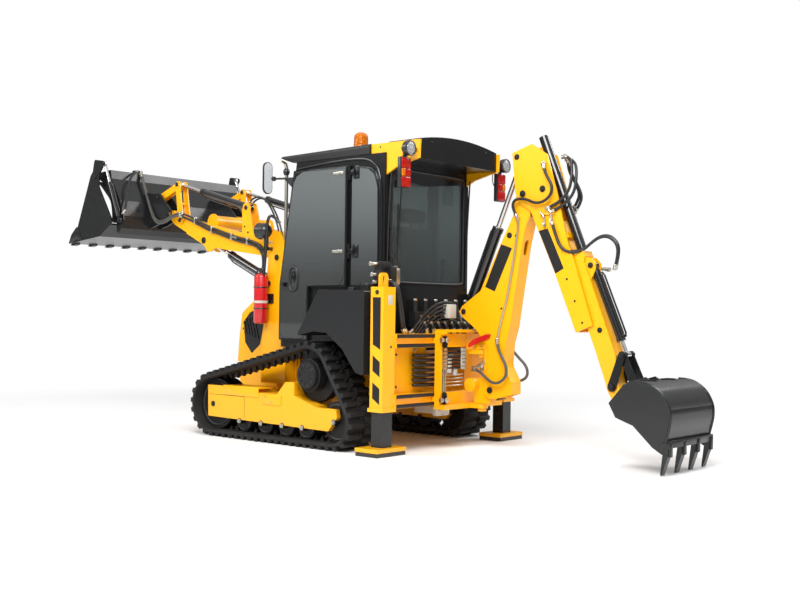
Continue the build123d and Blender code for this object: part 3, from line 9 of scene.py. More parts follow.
import bmesh
import bpy
from mathutils import Matrix, Vector
from mathutils.geometry import interpolate_bezier

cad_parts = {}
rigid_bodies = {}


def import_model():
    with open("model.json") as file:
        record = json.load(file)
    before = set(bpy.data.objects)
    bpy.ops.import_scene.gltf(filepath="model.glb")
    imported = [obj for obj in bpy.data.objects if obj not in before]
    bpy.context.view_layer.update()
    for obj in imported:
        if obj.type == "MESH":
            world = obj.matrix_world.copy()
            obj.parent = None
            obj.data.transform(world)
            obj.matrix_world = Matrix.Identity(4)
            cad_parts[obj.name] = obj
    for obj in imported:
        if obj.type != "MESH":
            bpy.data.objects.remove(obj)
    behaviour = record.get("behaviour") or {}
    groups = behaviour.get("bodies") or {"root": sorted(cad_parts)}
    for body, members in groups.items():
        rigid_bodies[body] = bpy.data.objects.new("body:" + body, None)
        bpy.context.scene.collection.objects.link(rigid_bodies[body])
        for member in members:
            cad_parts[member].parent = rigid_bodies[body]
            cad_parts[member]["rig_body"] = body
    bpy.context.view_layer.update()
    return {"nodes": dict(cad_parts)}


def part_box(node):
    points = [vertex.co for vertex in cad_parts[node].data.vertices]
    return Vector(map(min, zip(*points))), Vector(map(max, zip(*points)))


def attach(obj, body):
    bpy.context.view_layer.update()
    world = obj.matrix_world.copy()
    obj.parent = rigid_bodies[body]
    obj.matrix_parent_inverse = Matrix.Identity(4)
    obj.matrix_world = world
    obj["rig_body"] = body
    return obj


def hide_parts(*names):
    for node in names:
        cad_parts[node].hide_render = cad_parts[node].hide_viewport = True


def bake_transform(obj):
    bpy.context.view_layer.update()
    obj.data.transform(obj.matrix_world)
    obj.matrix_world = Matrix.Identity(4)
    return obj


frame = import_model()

bl_info = {
    "name": "Tracked backhoe loader",
    "version": (1, 0, 0),
    "blender": (4, 5, 0),
    "location": "3D View > Sidebar > Loader",
    "description": "Finishes, hoses, lamps, tread and small fittings of a tracked backhoe loader",
    "category": "Object",
}

MM = 0.001
LEG_LOW, LEG_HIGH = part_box("stabiliser_left")
LEGS_X = (LEG_LOW.x + LEG_HIGH.x) / 2
HOE_Y = (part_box("boom")[0].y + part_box("boom")[1].y) / 2 / MM


# ------------------------------------------------------------------ places
def spot(x, y, z):
    """Point given in millimetres from the ground under the middle of the stabiliser legs."""
    return Vector((LEGS_X + x * MM, y * MM, z * MM))


def along(start, end, distance):
    """Side-view point at a distance from start on the way to end."""
    share = distance / hypot(end[0] - start[0], end[1] - start[1])
    return (start[0] + share * (end[0] - start[0]), start[1] + share * (end[1] - start[1]))


# ------------------------------------------------------------------ settings
class LoaderColours(bpy.types.PropertyGroup):
    """Paint and material colours."""
    yellow: bpy.props.FloatVectorProperty(
        name="Yellow", description="Paint of the arms, hood and frames",
        default=(0.95, 0.43, 0.0015), subtype="COLOR", min=0, max=1)
    black: bpy.props.FloatVectorProperty(
        name="Black", description="Paint of the cab, the buckets and the rams",
        default=(0.008, 0.0084, 0.0088), subtype="COLOR", min=0, max=1)
    grey: bpy.props.FloatVectorProperty(
        name="Grey", description="Moulded plastic of the grilles, tanks and consoles",
        default=(0.013, 0.0135, 0.0145), subtype="COLOR", min=0, max=1)
    rubber: bpy.props.FloatVectorProperty(
        name="Rubber", description="Tracks, hoses and seals",
        default=(0.010, 0.010, 0.0105), subtype="COLOR", min=0, max=1)
    glass: bpy.props.FloatVectorProperty(
        name="Glass", description="Tint of the cab's panes",
        default=(0.17, 0.2, 0.2), subtype="COLOR", min=0, max=1)
    red: bpy.props.FloatVectorProperty(
        name="Red", description="Paint of the extinguisher and the lock lever",
        default=(0.55, 0.008, 0.012), subtype="COLOR", min=0, max=1)
    amber: bpy.props.FloatVectorProperty(
        name="Amber", description="Beacon and direction lamps",
        default=(0.80, 0.20, 0.003), subtype="COLOR", min=0, max=1)


class LoaderSizes(bpy.types.PropertyGroup):
    """Sizes of hoses, tread and fittings."""
    hose: bpy.props.FloatProperty(
        name="Hose radius", description="Radius of a main hydraulic hose",
        default=0.0105, subtype="DISTANCE", unit="LENGTH", min=0.004, max=0.02)
    small_hose: bpy.props.FloatProperty(
        name="Small hose radius", description="Radius of a pilot hose",
        default=0.0075, subtype="DISTANCE", unit="LENGTH", min=0.003, max=0.015)
    pipe: bpy.props.FloatProperty(
        name="Pipe radius", description="Radius of a steel pipe",
        default=0.0075, subtype="DISTANCE", unit="LENGTH", min=0.003, max=0.015)
    lug_height: bpy.props.FloatProperty(
        name="Lug height", description="Height of a track's outer lugs over its belt",
        default=0.028, subtype="DISTANCE", unit="LENGTH", min=0.01, max=0.04)
    lug_pitch: bpy.props.FloatProperty(
        name="Lug pitch", description="Distance between a track's lugs along its belt",
        default=0.076, subtype="DISTANCE", unit="LENGTH", min=0.04, max=0.12)
    edge: bpy.props.FloatProperty(
        name="Edge radius", description="Radius at which a plate's edge catches the light",
        default=0.003, subtype="DISTANCE", unit="LENGTH", min=0.0, max=0.01)


class LoaderStudio(bpy.types.PropertyGroup):
    """Floor, lamps and camera."""
    floor: bpy.props.FloatVectorProperty(
        name="Floor", description="Colour of the floor", default=(0.86, 0.86, 0.86),
        subtype="COLOR", min=0, max=1)
    key: bpy.props.FloatProperty(
        name="Key lamp", description="Power of the large lamp over the camera's side",
        default=520.0, subtype="POWER", unit="POWER", min=0)
    fill: bpy.props.FloatProperty(
        name="Fill lamp", description="Power of the fill lamp and of the back lamp",
        default=260.0, subtype="POWER", unit="POWER", min=0)
    ambient: bpy.props.FloatProperty(
        name="Ambient", description="Strength of the light from all sides", default=0.62, min=0)
    lens: bpy.props.FloatProperty(
        name="Lens", description="Focal length of the camera", default=48.99,
        subtype="DISTANCE_CAMERA", unit="CAMERA", min=10)


def settings(kind):
    """The scene's settings of one kind: colours, sizes or studio."""
    return getattr(bpy.context.scene, "loader_" + kind)


# ------------------------------------------------------------------ node graphs
MIX_SHARE, MIX_A, MIX_B = 0, 6, 7        # a colour mix node's sockets
MIX_COLOUR = 2


class Graph:
    """A node tree with short calls to add and join nodes."""

    def __init__(self, tree):
        self.tree = tree

    def add(self, kind, inputs=(), **options):
        """A new node with its options and inputs set; an input may be a value or a socket."""
        node = self.tree.nodes.new(kind)
        for key, value in options.items():
            setattr(node, key, value)
        for name, value in dict(inputs).items():
            if isinstance(value, bpy.types.NodeSocket):
                self.tree.links.new(value, node.inputs[name])
            else:
                node.inputs[name].default_value = value
        return node

    def math(self, operation, a, b=0.0, c=0.0, clamp=False):
        """Result of a sum on values or sockets."""
        return self.add("ShaderNodeMath", {0: a, 1: b, 2: c}, operation=operation,
                        use_clamp=clamp).outputs[0]

    def mix(self, share, a, b):
        """Colour between a and b, each a colour or a socket."""
        node = self.add("ShaderNodeMix", data_type="RGBA")
        for index, value in ((MIX_SHARE, share), (MIX_A, a), (MIX_B, b)):
            if isinstance(value, bpy.types.NodeSocket):
                self.tree.links.new(value, node.inputs[index])
            else:
                node.inputs[index].default_value = value if index == MIX_SHARE else (*value, 1.0)
        return node.outputs[MIX_COLOUR]

    def group(self, group, **inputs):
        """A node that holds a shared group, with its inputs set by name."""
        node = self.tree.nodes.new("ShaderNodeGroup")
        node.node_tree = group
        for name, value in inputs.items():
            socket = node.inputs[name.replace("_", " ").capitalize()]
            if isinstance(value, bpy.types.NodeSocket):
                self.tree.links.new(value, socket)
            else:
                socket.default_value = value
        return node


def new_group(name, inputs, outputs):
    """Empty node group with its sockets: inputs are (name, type, default), outputs (name, type)."""
    group = bpy.data.node_groups.new(name, "ShaderNodeTree")
    for label, kind, default in inputs:
        socket = group.interface.new_socket(label, in_out="INPUT", socket_type=kind)
        socket.default_value = default
    for label, kind in outputs:
        group.interface.new_socket(label, in_out="OUTPUT", socket_type=kind)
    graph = Graph(group)
    return graph, graph.add("NodeGroupInput"), graph.add("NodeGroupOutput")


def grain_group():
    """Fine bumps and broad changes of tone over a surface."""
    graph, given, out = new_group(
        "surface grain",
        (("Grain scale", "NodeSocketFloat", 200.0), ("Tone scale", "NodeSocketFloat", 3.0)),
        (("Height", "NodeSocketFloat"), ("Tone", "NodeSocketFloat")))
    place = graph.add("ShaderNodeTexCoord").outputs["Object"]
    fine = graph.add("ShaderNodeTexNoise", {"Vector": place, "Scale": given.outputs["Grain scale"],
                                            "Detail": 3.0, "Roughness": 0.55})
    broad = graph.add("ShaderNodeTexNoise", {"Vector": place, "Scale": given.outputs["Tone scale"],
                                             "Detail": 4.0, "Roughness": 0.6})
    graph.tree.links.new(fine.outputs["Fac"], out.inputs["Height"])
    graph.tree.links.new(broad.outputs["Fac"], out.inputs["Tone"])
    return graph.tree


def edge_group():
    """Mask and normal of rounded plate edges; the finishes lighten the colour under the mask as a
    painted highlight.
    """
    graph, given, out = new_group(
        "edge wear",
        (("Radius", "NodeSocketFloat", 0.003), ("Spread", "NodeSocketFloat", 6.0)),
        (("Edge", "NodeSocketFloat"), ("Normal", "NodeSocketVector")))
    soft = graph.add("ShaderNodeBevel", {"Radius": given.outputs["Radius"]}, samples=4)
    flat = graph.add("ShaderNodeNewGeometry")
    facing = graph.add("ShaderNodeVectorMath", {0: soft.outputs[0], 1: flat.outputs["Normal"]},
                       operation="DOT_PRODUCT").outputs["Value"]
    bent = graph.math("SUBTRACT", 1.0, facing)
    edge = graph.math("MULTIPLY", bent, given.outputs["Spread"], clamp=True)
    graph.tree.links.new(edge, out.inputs["Edge"])
    graph.tree.links.new(soft.outputs[0], out.inputs["Normal"])
    return graph.tree


def dust_group():
    """Mask of pale dust that thins out with height over the ground."""
    graph, given, out = new_group(
        "ground dust",
        (("Top", "NodeSocketFloat", 0.5), ("Amount", "NodeSocketFloat", 0.2)),
        (("Dust", "NodeSocketFloat"),))
    place = graph.add("ShaderNodeTexCoord").outputs["Object"]
    height = graph.add("ShaderNodeSeparateXYZ", {0: place}).outputs["Z"]
    low = graph.math("SUBTRACT", 1.0, graph.math("DIVIDE", height, given.outputs["Top"]),
                     clamp=True)
    cloud = graph.add("ShaderNodeTexNoise", {"Vector": place, "Scale": 9.0, "Detail": 6.0,
                                             "Roughness": 0.7}).outputs["Fac"]
    patch = graph.math("MULTIPLY", low, graph.math("POWER", cloud, 1.5))
    graph.tree.links.new(graph.math("MULTIPLY", patch, given.outputs["Amount"], clamp=True),
                         out.inputs["Dust"])
    return graph.tree


SHARED = {}           # the node groups, by name, filled by the finishes operator
FINISHES = {}         # the materials, by name
DUST_COLOUR = (0.34, 0.31, 0.27)
COAT_ROUGHNESS = 0.08
TONE_SCALE = 2.3      # size of the slow tone changes
ROUGHNESS_SPREAD = 0.16
BUMP_DISTANCE = 0.002
GLASS_IOR = 1.45
PAINTED_REFLECTION_FROM, PAINTED_REFLECTION_TO = 1.1, 2.05        # heights in metres between which dark glass turns pale, a painted reflection


def band(graph, axis, low, high):
    """Mask of the object's points between two places, in metres, along an axis."""
    place = graph.add("ShaderNodeTexCoord").outputs["Object"]
    value = graph.add("ShaderNodeSeparateXYZ", {0: place}).outputs["XYZ".index(axis)]
    return graph.math("MULTIPLY", graph.math("GREATER_THAN", value, low),
                      graph.math("LESS_THAN", value, high))


def finish(name, colour, roughness=0.4, metallic=0.0, coat=0.0, grain=(260.0, 0.05), tone=0.10,
           edge=0.0, painted_highlight_tone=1.5, dust=0.0, dust_top=0.6, bands=(), specular=0.5):
    """A solid finish: tone changes, fine grain, rounded edges lightened as a painted highlight, and
    dust near the ground.

    bands are (axis, low, high, colour) in metres, painted over the base colour.
    """
    material = bpy.data.materials.new(name)
    material.use_nodes = True
    material.node_tree.nodes.clear()
    graph = Graph(material.node_tree)
    shader = graph.add("ShaderNodeBsdfPrincipled", {
        "Metallic": metallic, "Coat Weight": coat, "Coat Roughness": COAT_ROUGHNESS,
        "Specular IOR Level": specular})
    out = graph.add("ShaderNodeOutputMaterial", {"Surface": shader.outputs[0]})
    out.is_active_output = True
    surface = graph.group(SHARED["grain"], grain_scale=grain[0], tone_scale=TONE_SCALE)
    painted = graph.add("ShaderNodeRGB").outputs[0]
    painted.default_value = (*colour, 1.0)
    for axis, low, high, other in bands:
        painted = graph.mix(band(graph, axis, low, high), painted, other)
    deep = graph.add("ShaderNodeHueSaturation", {"Value": 1.0 - tone, "Color": painted}).outputs[0]
    toned = graph.mix(surface.outputs["Tone"], painted, deep)
    normal = None
    # painted highlight: the colour is lightened along rounded edges
    if edge:
        rim = graph.group(SHARED["edge"], radius=edge)
        painted_highlight = graph.add("ShaderNodeHueSaturation",
                           {"Value": painted_highlight_tone, "Color": toned}).outputs[0]
        toned = graph.mix(rim.outputs["Edge"], toned, painted_highlight)
        normal = rim.outputs["Normal"]
    if dust:
        film = graph.group(SHARED["dust"], top=dust_top, amount=dust)
        toned = graph.mix(film.outputs["Dust"], toned, DUST_COLOUR)
    graph.tree.links.new(toned, shader.inputs["Base Color"])
    rough = graph.math("MULTIPLY_ADD", surface.outputs["Tone"], ROUGHNESS_SPREAD,
                       roughness - ROUGHNESS_SPREAD / 2, clamp=True)
    graph.tree.links.new(rough, shader.inputs["Roughness"])
    bump = graph.add("ShaderNodeBump", {"Height": surface.outputs["Height"],
                                        "Strength": grain[1], "Distance": BUMP_DISTANCE})
    if normal is not None:
        graph.tree.links.new(normal, bump.inputs["Normal"])
    graph.tree.links.new(bump.outputs[0], shader.inputs["Normal"])
    FINISHES[name] = material
    return material


def clear_finish(name, colour, roughness, transmission, pattern=0.0, pale=None):
    """Glass or a lamp's lens, with plain transmission and an optional prism pattern.

    pale is the colour that the glass takes on towards the top of the cab, a painted reflection.
    """
    material = bpy.data.materials.new(name)
    material.use_nodes = True
    material.node_tree.nodes.clear()
    graph = Graph(material.node_tree)
    place = graph.add("ShaderNodeTexCoord").outputs["Object"]
    film = graph.add("ShaderNodeTexNoise", {"Vector": place, "Scale": 1.7,
                                            "Detail": 2.0}).outputs["Fac"]
    tint = graph.mix(film, tuple(0.92 * c for c in colour), colour)
    # painted reflection: the glass turns paler towards the top of the cab
    if pale:
        height = graph.add("ShaderNodeSeparateXYZ", {0: place}).outputs["Z"]
        painted_reflection_share = graph.add("ShaderNodeMapRange", {0: height, 1: PAINTED_REFLECTION_FROM, 2: PAINTED_REFLECTION_TO},
                         interpolation_type="SMOOTHSTEP").outputs[0]
        tint = graph.mix(painted_reflection_share, tint, pale)
    shader = graph.add("ShaderNodeBsdfPrincipled", {
        "Transmission Weight": transmission, "IOR": GLASS_IOR, "Metallic": 0.0, "Base Color": tint,
        "Roughness": graph.math("MULTIPLY_ADD", film, 0.02, roughness)})
    graph.add("ShaderNodeOutputMaterial", {"Surface": shader.outputs[0]})
    if pattern:
        cells = graph.add("ShaderNodeTexVoronoi", {"Vector": place, "Scale": pattern})
        bump = graph.add("ShaderNodeBump", {"Height": cells.outputs["Distance"], "Strength": 0.35,
                                            "Distance": 0.004})
        graph.tree.links.new(bump.outputs[0], shader.inputs["Normal"])
    FINISHES[name] = material
    return material


def make_finishes():
    """Every finish that the pieces and the carried-over solids use."""
    colours, sizes = settings("colours"), settings("sizes")
    SHARED.update(grain=grain_group(), edge=edge_group(), dust=dust_group())
    yellow, black, grey = (tuple(getattr(colours, c)) for c in ("yellow", "black", "grey"))
    rubber, red, amber = (tuple(getattr(colours, c)) for c in ("rubber", "red", "amber"))
    edge = sizes.edge
    finish("paint yellow", yellow, 0.32, coat=0.25, grain=(420, 0.02), tone=0.06, edge=edge,
           painted_highlight_tone=1.12, specular=0.35)
    finish("paint yellow low", yellow, 0.36, coat=0.2, grain=(420, 0.02), tone=0.08, edge=edge,
           painted_highlight_tone=1.1, dust=0.08, dust_top=0.45, specular=0.35)
    finish("paint black", black, 0.24, coat=0.08, grain=(420, 0.03), tone=0.14, edge=edge,
           painted_highlight_tone=3.0, specular=0.25)
    finish("paint bucket", tuple(1.7 * c for c in black), 0.27, coat=0.1, grain=(300, 0.04),
           tone=0.18, edge=edge, painted_highlight_tone=2.6, specular=0.4)
    finish("panel grey", grey, 0.34, coat=0.05, grain=(700, 0.06), tone=0.12, edge=edge,
           painted_highlight_tone=2.2, specular=0.3)
    finish("gloss black", (0.008, 0.008, 0.009), 0.16, coat=0.5, grain=(420, 0.01), tone=0.1,
           edge=0.0015, painted_highlight_tone=2.0)
    finish("rubber track", rubber, 0.62, grain=(520, 0.22), tone=0.22, edge=0.004, painted_highlight_tone=2.4,
           dust=0.07, dust_top=0.75, specular=0.28)
    finish("rubber hose", (0.012, 0.012, 0.013), 0.42, grain=(900, 0.12), tone=0.15)
    finish("hose braid", (0.09, 0.085, 0.075), 0.5, grain=(1500, 0.35), tone=0.3)
    finish("chrome", (0.78, 0.77, 0.75), 0.12, metallic=1.0, grain=(900, 0.01), tone=0.05)
    finish("zinc steel", (0.62, 0.60, 0.53), 0.3, metallic=1.0, grain=(600, 0.05), tone=0.12,
           edge=0.001, painted_highlight_tone=1.2)
    finish("brass", (0.62, 0.44, 0.2), 0.28, metallic=1.0, grain=(600, 0.04), tone=0.12)
    finish("dark steel", (0.07, 0.07, 0.072), 0.42, metallic=0.8, grain=(600, 0.08), tone=0.2,
           edge=0.001, painted_highlight_tone=1.8)
    finish("cast black", (0.011, 0.011, 0.0115), 0.5, grain=(300, 0.2), tone=0.2, edge=0.003,
           painted_highlight_tone=2.2, specular=0.3)
    finish("paint red", red, 0.28, coat=0.4, grain=(420, 0.02), tone=0.08, edge=0.002,
           painted_highlight_tone=1.25)
    finish("pale plate", (0.55, 0.53, 0.47), 0.45, grain=(400, 0.05), tone=0.1, edge=0.002,
           painted_highlight_tone=1.2)
    finish("seat cloth", (0.026, 0.027, 0.03), 0.85, grain=(1300, 0.5), tone=0.2, specular=0.2)
    # the mirror's pale grey is a painted reflection of the bright studio
    finish("mirror face", (0.58, 0.60, 0.62), 0.12, grain=(50, 0.0), tone=0.12, coat=0.3)
    finish("stabiliser finish", black, 0.28, coat=0.1, grain=(420, 0.03), tone=0.1, edge=edge,
           painted_highlight_tone=1.6, bands=(("Z", -1.0, 0.030, (0.02, 0.02, 0.02)),
                                 ("Z", 0.030, 0.0565, yellow)))
    finish("lamp housing", (0.014, 0.014, 0.015), 0.34, coat=0.2, grain=(600, 0.05), tone=0.1,
           edge=0.002, painted_highlight_tone=2.0)
    clear_finish("tinted glass", tuple(0.8 * c for c in colours.glass), 0.01, 0.8,
                 pale=tuple(1.5 * c for c in colours.glass))
    clear_finish("smoked glass", (0.07, 0.074, 0.074), 0.02, 0.4, pale=(0.18, 0.2, 0.2))
    clear_finish("clear lens", (0.86, 0.88, 0.9), 0.02, 0.75, pattern=95.0)
    clear_finish("red lens", (0.42, 0.003, 0.003), 0.06, 0.15, pattern=70.0)
    clear_finish("amber lens", amber, 0.05, 0.35, pattern=70.0)


# node: finish
NODE_FINISHES = {
    "track_left": "rubber track", "track_right": "rubber track",
    "track_frames": "paint yellow low", "rollers_and_idlers": "cast black",
    "drive_sprockets": "cast black", "chassis_frame": "paint yellow",
    "engine_block": "cast black", "hood": "paint yellow", "hood_grilles": "panel grey",
    "loader_towers": "paint yellow", "loader_arms": "paint yellow",
    "lift_ram_barrel": "gloss black", "lift_ram_rod": "chrome",
    "tilt_levers": "paint yellow", "tilt_links": "paint yellow",
    "tilt_ram_barrel": "gloss black", "tilt_ram_rod": "chrome",
    "bucket_blade": "paint bucket", "bucket_clam": "paint bucket",
    "clam_ram_barrel": "gloss black", "clam_ram_rod": "chrome",
    "cab_frame": "paint black", "cab_door": "paint black", "cab_glass": "tinted glass",
    "door_glass": "tinted glass", "cab_roof": "panel grey", "roof_canopy": "paint yellow",
    "rear_visor": "paint black", "operator_seat": "seat cloth",
    "control_consoles": "panel grey", "side_tanks": "panel grey", "rear_frame": "paint yellow",
    "tow_bracket": "pale plate", "stabiliser_left": "stabiliser finish",
    "stabiliser_right": "stabiliser finish", "carriage": "paint yellow",
    "rail_clamps": "cast black", "kingpost": "paint yellow", "lock_lever": "paint red",
    "boom": "paint yellow", "boom_ram_barrel": "gloss black", "boom_ram_rod": "chrome",
    "dipper": "paint yellow", "extension_ram": "gloss black", "extension_rod": "chrome",
    "dipper_ram_barrel": "gloss black", "dipper_ram_rod": "chrome",
    "inner_dipper": "paint yellow", "bucket_ram_barrel": "gloss black",
    "bucket_ram_rod": "chrome", "bucket_lever": "paint black", "bucket_link": "paint black",
    "hoe_bucket": "paint bucket", "lamps_and_mirrors": "lamp housing",
    "fire_extinguisher": "paint red", "valve_bank": "cast black",
}


# ------------------------------------------------------------------ shapes
def facing(direction):
    """Turn that takes +Z to a direction."""
    return direction.to_track_quat("Z", "Y").to_matrix().to_4x4()


def once(items):
    """Items without their repeats, in the order met."""
    return list(dict.fromkeys(items))


def bar(bm, start, end, radius, tip=None, sides=20, bevel=0.0):
    """A round bar or cone between two points, with its rims rounded."""
    way = end - start
    made = bmesh.ops.create_cone(
        bm, cap_ends=True, segments=sides, radius1=radius,
        radius2=radius if tip is None else tip, depth=way.length,
        matrix=Matrix.Translation((start + end) / 2) @ facing(way))["verts"]
    if bevel:
        caps = once(f for v in made for f in v.link_faces if len(f.verts) > 4)
        rims = [e for f in caps for e in f.edges]
        bmesh.ops.bevel(bm, geom=rims, offset=bevel, segments=2, profile=0.5, material=-1,
                        affect="EDGES")
    return made


def ring(bm, centre, axis, radius, thickness, sides=32, section=8):
    """A closed round ring about an axis."""
    turn = Matrix.Translation(centre) @ facing(axis)
    start = bmesh.ops.create_circle(
        bm, segments=section, radius=thickness,
        matrix=turn @ Matrix.Translation((radius, 0, 0)) @ Matrix.Rotation(pi / 2, 4, "X"))
    edges = once(e for v in start["verts"] for e in v.link_edges)
    bmesh.ops.spin(bm, geom=start["verts"] + edges, cent=centre, axis=axis.normalized(),
                   angle=2 * pi, steps=sides, use_merge=True, use_duplicate=False)


def brick(bm, low, high, bevel, turn=None, segments=2):
    """A block between two corners with rounded edges, turned about its middle if wanted."""
    middle, size = (low + high) / 2, high - low
    matrix = Matrix.Translation(middle) @ (turn or Matrix()) @ Matrix.Diagonal((*size, 1.0))
    made = bmesh.ops.create_cube(bm, size=1.0, matrix=matrix)["verts"]
    edges = once(e for v in made for e in v.link_edges)
    bmesh.ops.bevel(bm, geom=edges, offset=bevel, segments=segments, profile=0.5, material=-1,
                    affect="EDGES")


def sheet_metal(bm, outline, thickness, bevel=0.0):
    """A plate of a flat outline of points, pushed along its normal by a thickness vector."""
    face = bm.faces.new([bm.verts.new(p) for p in outline])
    made = bmesh.ops.extrude_face_region(bm, geom=[face], use_keep_orig=True)["geom"]
    verts = [g for g in made if isinstance(g, bmesh.types.BMVert)]
    bmesh.ops.translate(bm, verts=verts, vec=thickness)
    if bevel:
        rim = once(e for v in verts for e in v.link_edges if all(w in verts for w in e.verts))
        bmesh.ops.bevel(bm, geom=rim, offset=bevel, segments=2, profile=0.5, material=-1,
                        affect="EDGES")


def bolt(bm, at, direction, size):
    """A hexagon head bolt on its washer."""
    way = direction.normalized()
    bar(bm, at, at + way * size * 0.22, size * 1.15, sides=20)
    bar(bm, at + way * size * 0.2, at + way * size * 0.85, size * 0.82, sides=6, bevel=size * 0.08)


def pin_cap(bm, at, direction, size):
    """A greased pin's round end: a collar with a domed cap and a nipple."""
    way = direction.normalized()
    bar(bm, at, at + way * size * 0.30, size * 1.25, sides=28, bevel=size * 0.06)
    bar(bm, at + way * size * 0.3, at + way * size * 0.55, size * 0.8, tip=size * 0.62, sides=24)
    bar(bm, at + way * size * 0.5, at + way * size * 0.75, size * 0.16, sides=8)


def settle(name, bm, body, finish_name, flat=35.0, weld=True):
    """Turn a bmesh into a finished piece that rides on a body."""
    if weld:
        bmesh.ops.remove_doubles(bm, verts=bm.verts, dist=1e-6)
    bmesh.ops.recalc_face_normals(bm, faces=bm.faces)
    mesh = bpy.data.meshes.new(name)
    bm.to_mesh(mesh)
    bm.free()
    mesh.shade_smooth()
    mesh.set_sharp_from_angle(angle=radians(flat))
    piece = bpy.data.objects.new(name, mesh)
    bpy.context.scene.collection.objects.link(piece)
    mesh.materials.append(FINISHES[finish_name])
    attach(piece, body)
    return piece


# ------------------------------------------------------------------ tracks
# x, z, radius at the lugs' tips, in millimetres, in the order of the loop
TRACK_WHEELS = ((385.0, 205.0, 205.0), (1730.0, 255.0, 255.0), (645.0, 532.0, 250.0))
BELT_THICKNESS = 26.0
TRACK_Y = (518.0, 838.0)


def loop_legs(inset):
    """The loop round the wheels: centre, radius, arc from, arc to and run length of each wheel."""
    count = len(TRACK_WHEELS)
    turns = []
    for i in range(count):
        (ax, az, ar), (bx, bz, br) = TRACK_WHEELS[i], TRACK_WHEELS[(i + 1) % count]
        reach, heading = hypot(bx - ax, bz - az), atan2(bz - az, bx - ax)
        turns.append((heading - acos((ar - br) / reach), (reach ** 2 - (ar - br) ** 2) ** 0.5))
    legs = []
    for i, (x, z, radius) in enumerate(TRACK_WHEELS):
        start, (end, run) = turns[i - 1][0], turns[i]
        while end < start:
            end += 2 * pi
        legs.append(((x, z), radius - inset, start, end, run))
    return legs


def loop_place(legs, distance):
    """Place on the loop at a distance along it: x, z and the outward angle."""
    for (x, z), radius, start, end, run in legs:
        arc = radius * (end - start)
        if distance < arc:
            angle = start + distance / radius
            return x + radius * cos(angle), z + radius * sin(angle), angle
        distance -= arc
        if distance < run:
            return (x + radius * cos(end) - distance * sin(end),
                    z + radius * sin(end) + distance * cos(end), end)
        distance -= run
    return loop_place(legs, 0.0)


def belt_loop(bm, y_low, y_high, inset):
    """The rubber belt: its section spun round the wheels and drawn along the straight runs."""
    legs = loop_legs(inset)
    (x, z), radius, start, _, _ = legs[0]
    round_by = 7.0
    section = []
    for depth, y in ((0, y_low + round_by), (round_by, y_low), (BELT_THICKNESS - 4, y_low),
                     (BELT_THICKNESS, y_low + 6), (BELT_THICKNESS, y_high - 6),
                     (BELT_THICKNESS - 4, y_high), (round_by, y_high), (0, y_high - round_by)):
        reach = radius - depth
        section.append(bm.verts.new(spot(x + reach * cos(start), y, z + reach * sin(start))))
    edges = [bm.edges.new((section[i - 1], section[i])) for i in range(len(section))]
    for (x, z), radius, start, end, run in legs:
        steps = max(6, int((end - start) / radians(6)))
        swept = bmesh.ops.spin(bm, geom=edges, cent=spot(x, 0, z), axis=(0, -1, 0),
                               angle=end - start, steps=steps, use_duplicate=False)["geom_last"]
        edges = [g for g in swept if isinstance(g, bmesh.types.BMEdge)]
        drawn = bmesh.ops.extrude_edge_only(bm, edges=edges)["geom"]
        way = Vector((-sin(end), 0, cos(end))) * run * MM
        bmesh.ops.translate(bm, verts=[g for g in drawn if isinstance(g, bmesh.types.BMVert)],
                            vec=way)
        edges = [g for g in drawn if isinstance(g, bmesh.types.BMEdge)]
    bmesh.ops.remove_doubles(bm, verts=bm.verts, dist=1e-4)


def lug(bm, place, y_low, y_high, length, height, root=0.0, lean=0.72, bevel=3.0):
    """One rubber lug: a block that narrows towards its tip, standing on the belt."""
    x, z, angle = place
    frame_turn = Matrix.Translation(spot(x, (y_low + y_high) / 2, z)) @ Matrix(
        ((-sin(angle), 0, cos(angle), 0), (0, 1, 0, 0), (cos(angle), 0, sin(angle), 0),
         (0, 0, 0, 1)))
    scale = Matrix.Diagonal((length * MM, (y_high - y_low) * MM, abs(height) * MM, 1.0))
    lift = Matrix.Translation((0, 0, (height / 2 + root) * MM))
    made = bmesh.ops.create_cube(bm, size=1.0, matrix=frame_turn @ lift @ scale)["verts"]
    back = frame_turn.inverted()
    outward = 1 if height > 0 else -1
    tip_level = root * MM + 0.4 * abs(height) * MM
    tips = [v for v in made if (back @ v.co).z * outward > tip_level]
    bmesh.ops.scale(bm, verts=tips, vec=(lean, 1 - (1 - lean) * length / (y_high - y_low), 1),
                    space=back)
    faces = once(f for v in tips for f in v.link_faces if all(w in tips for w in f.verts))
    edges = once(e for f in faces for e in f.edges)
    bmesh.ops.bevel(bm, geom=edges, offset=bevel * MM, segments=2, profile=0.5, material=-1,
                    affect="EDGES")


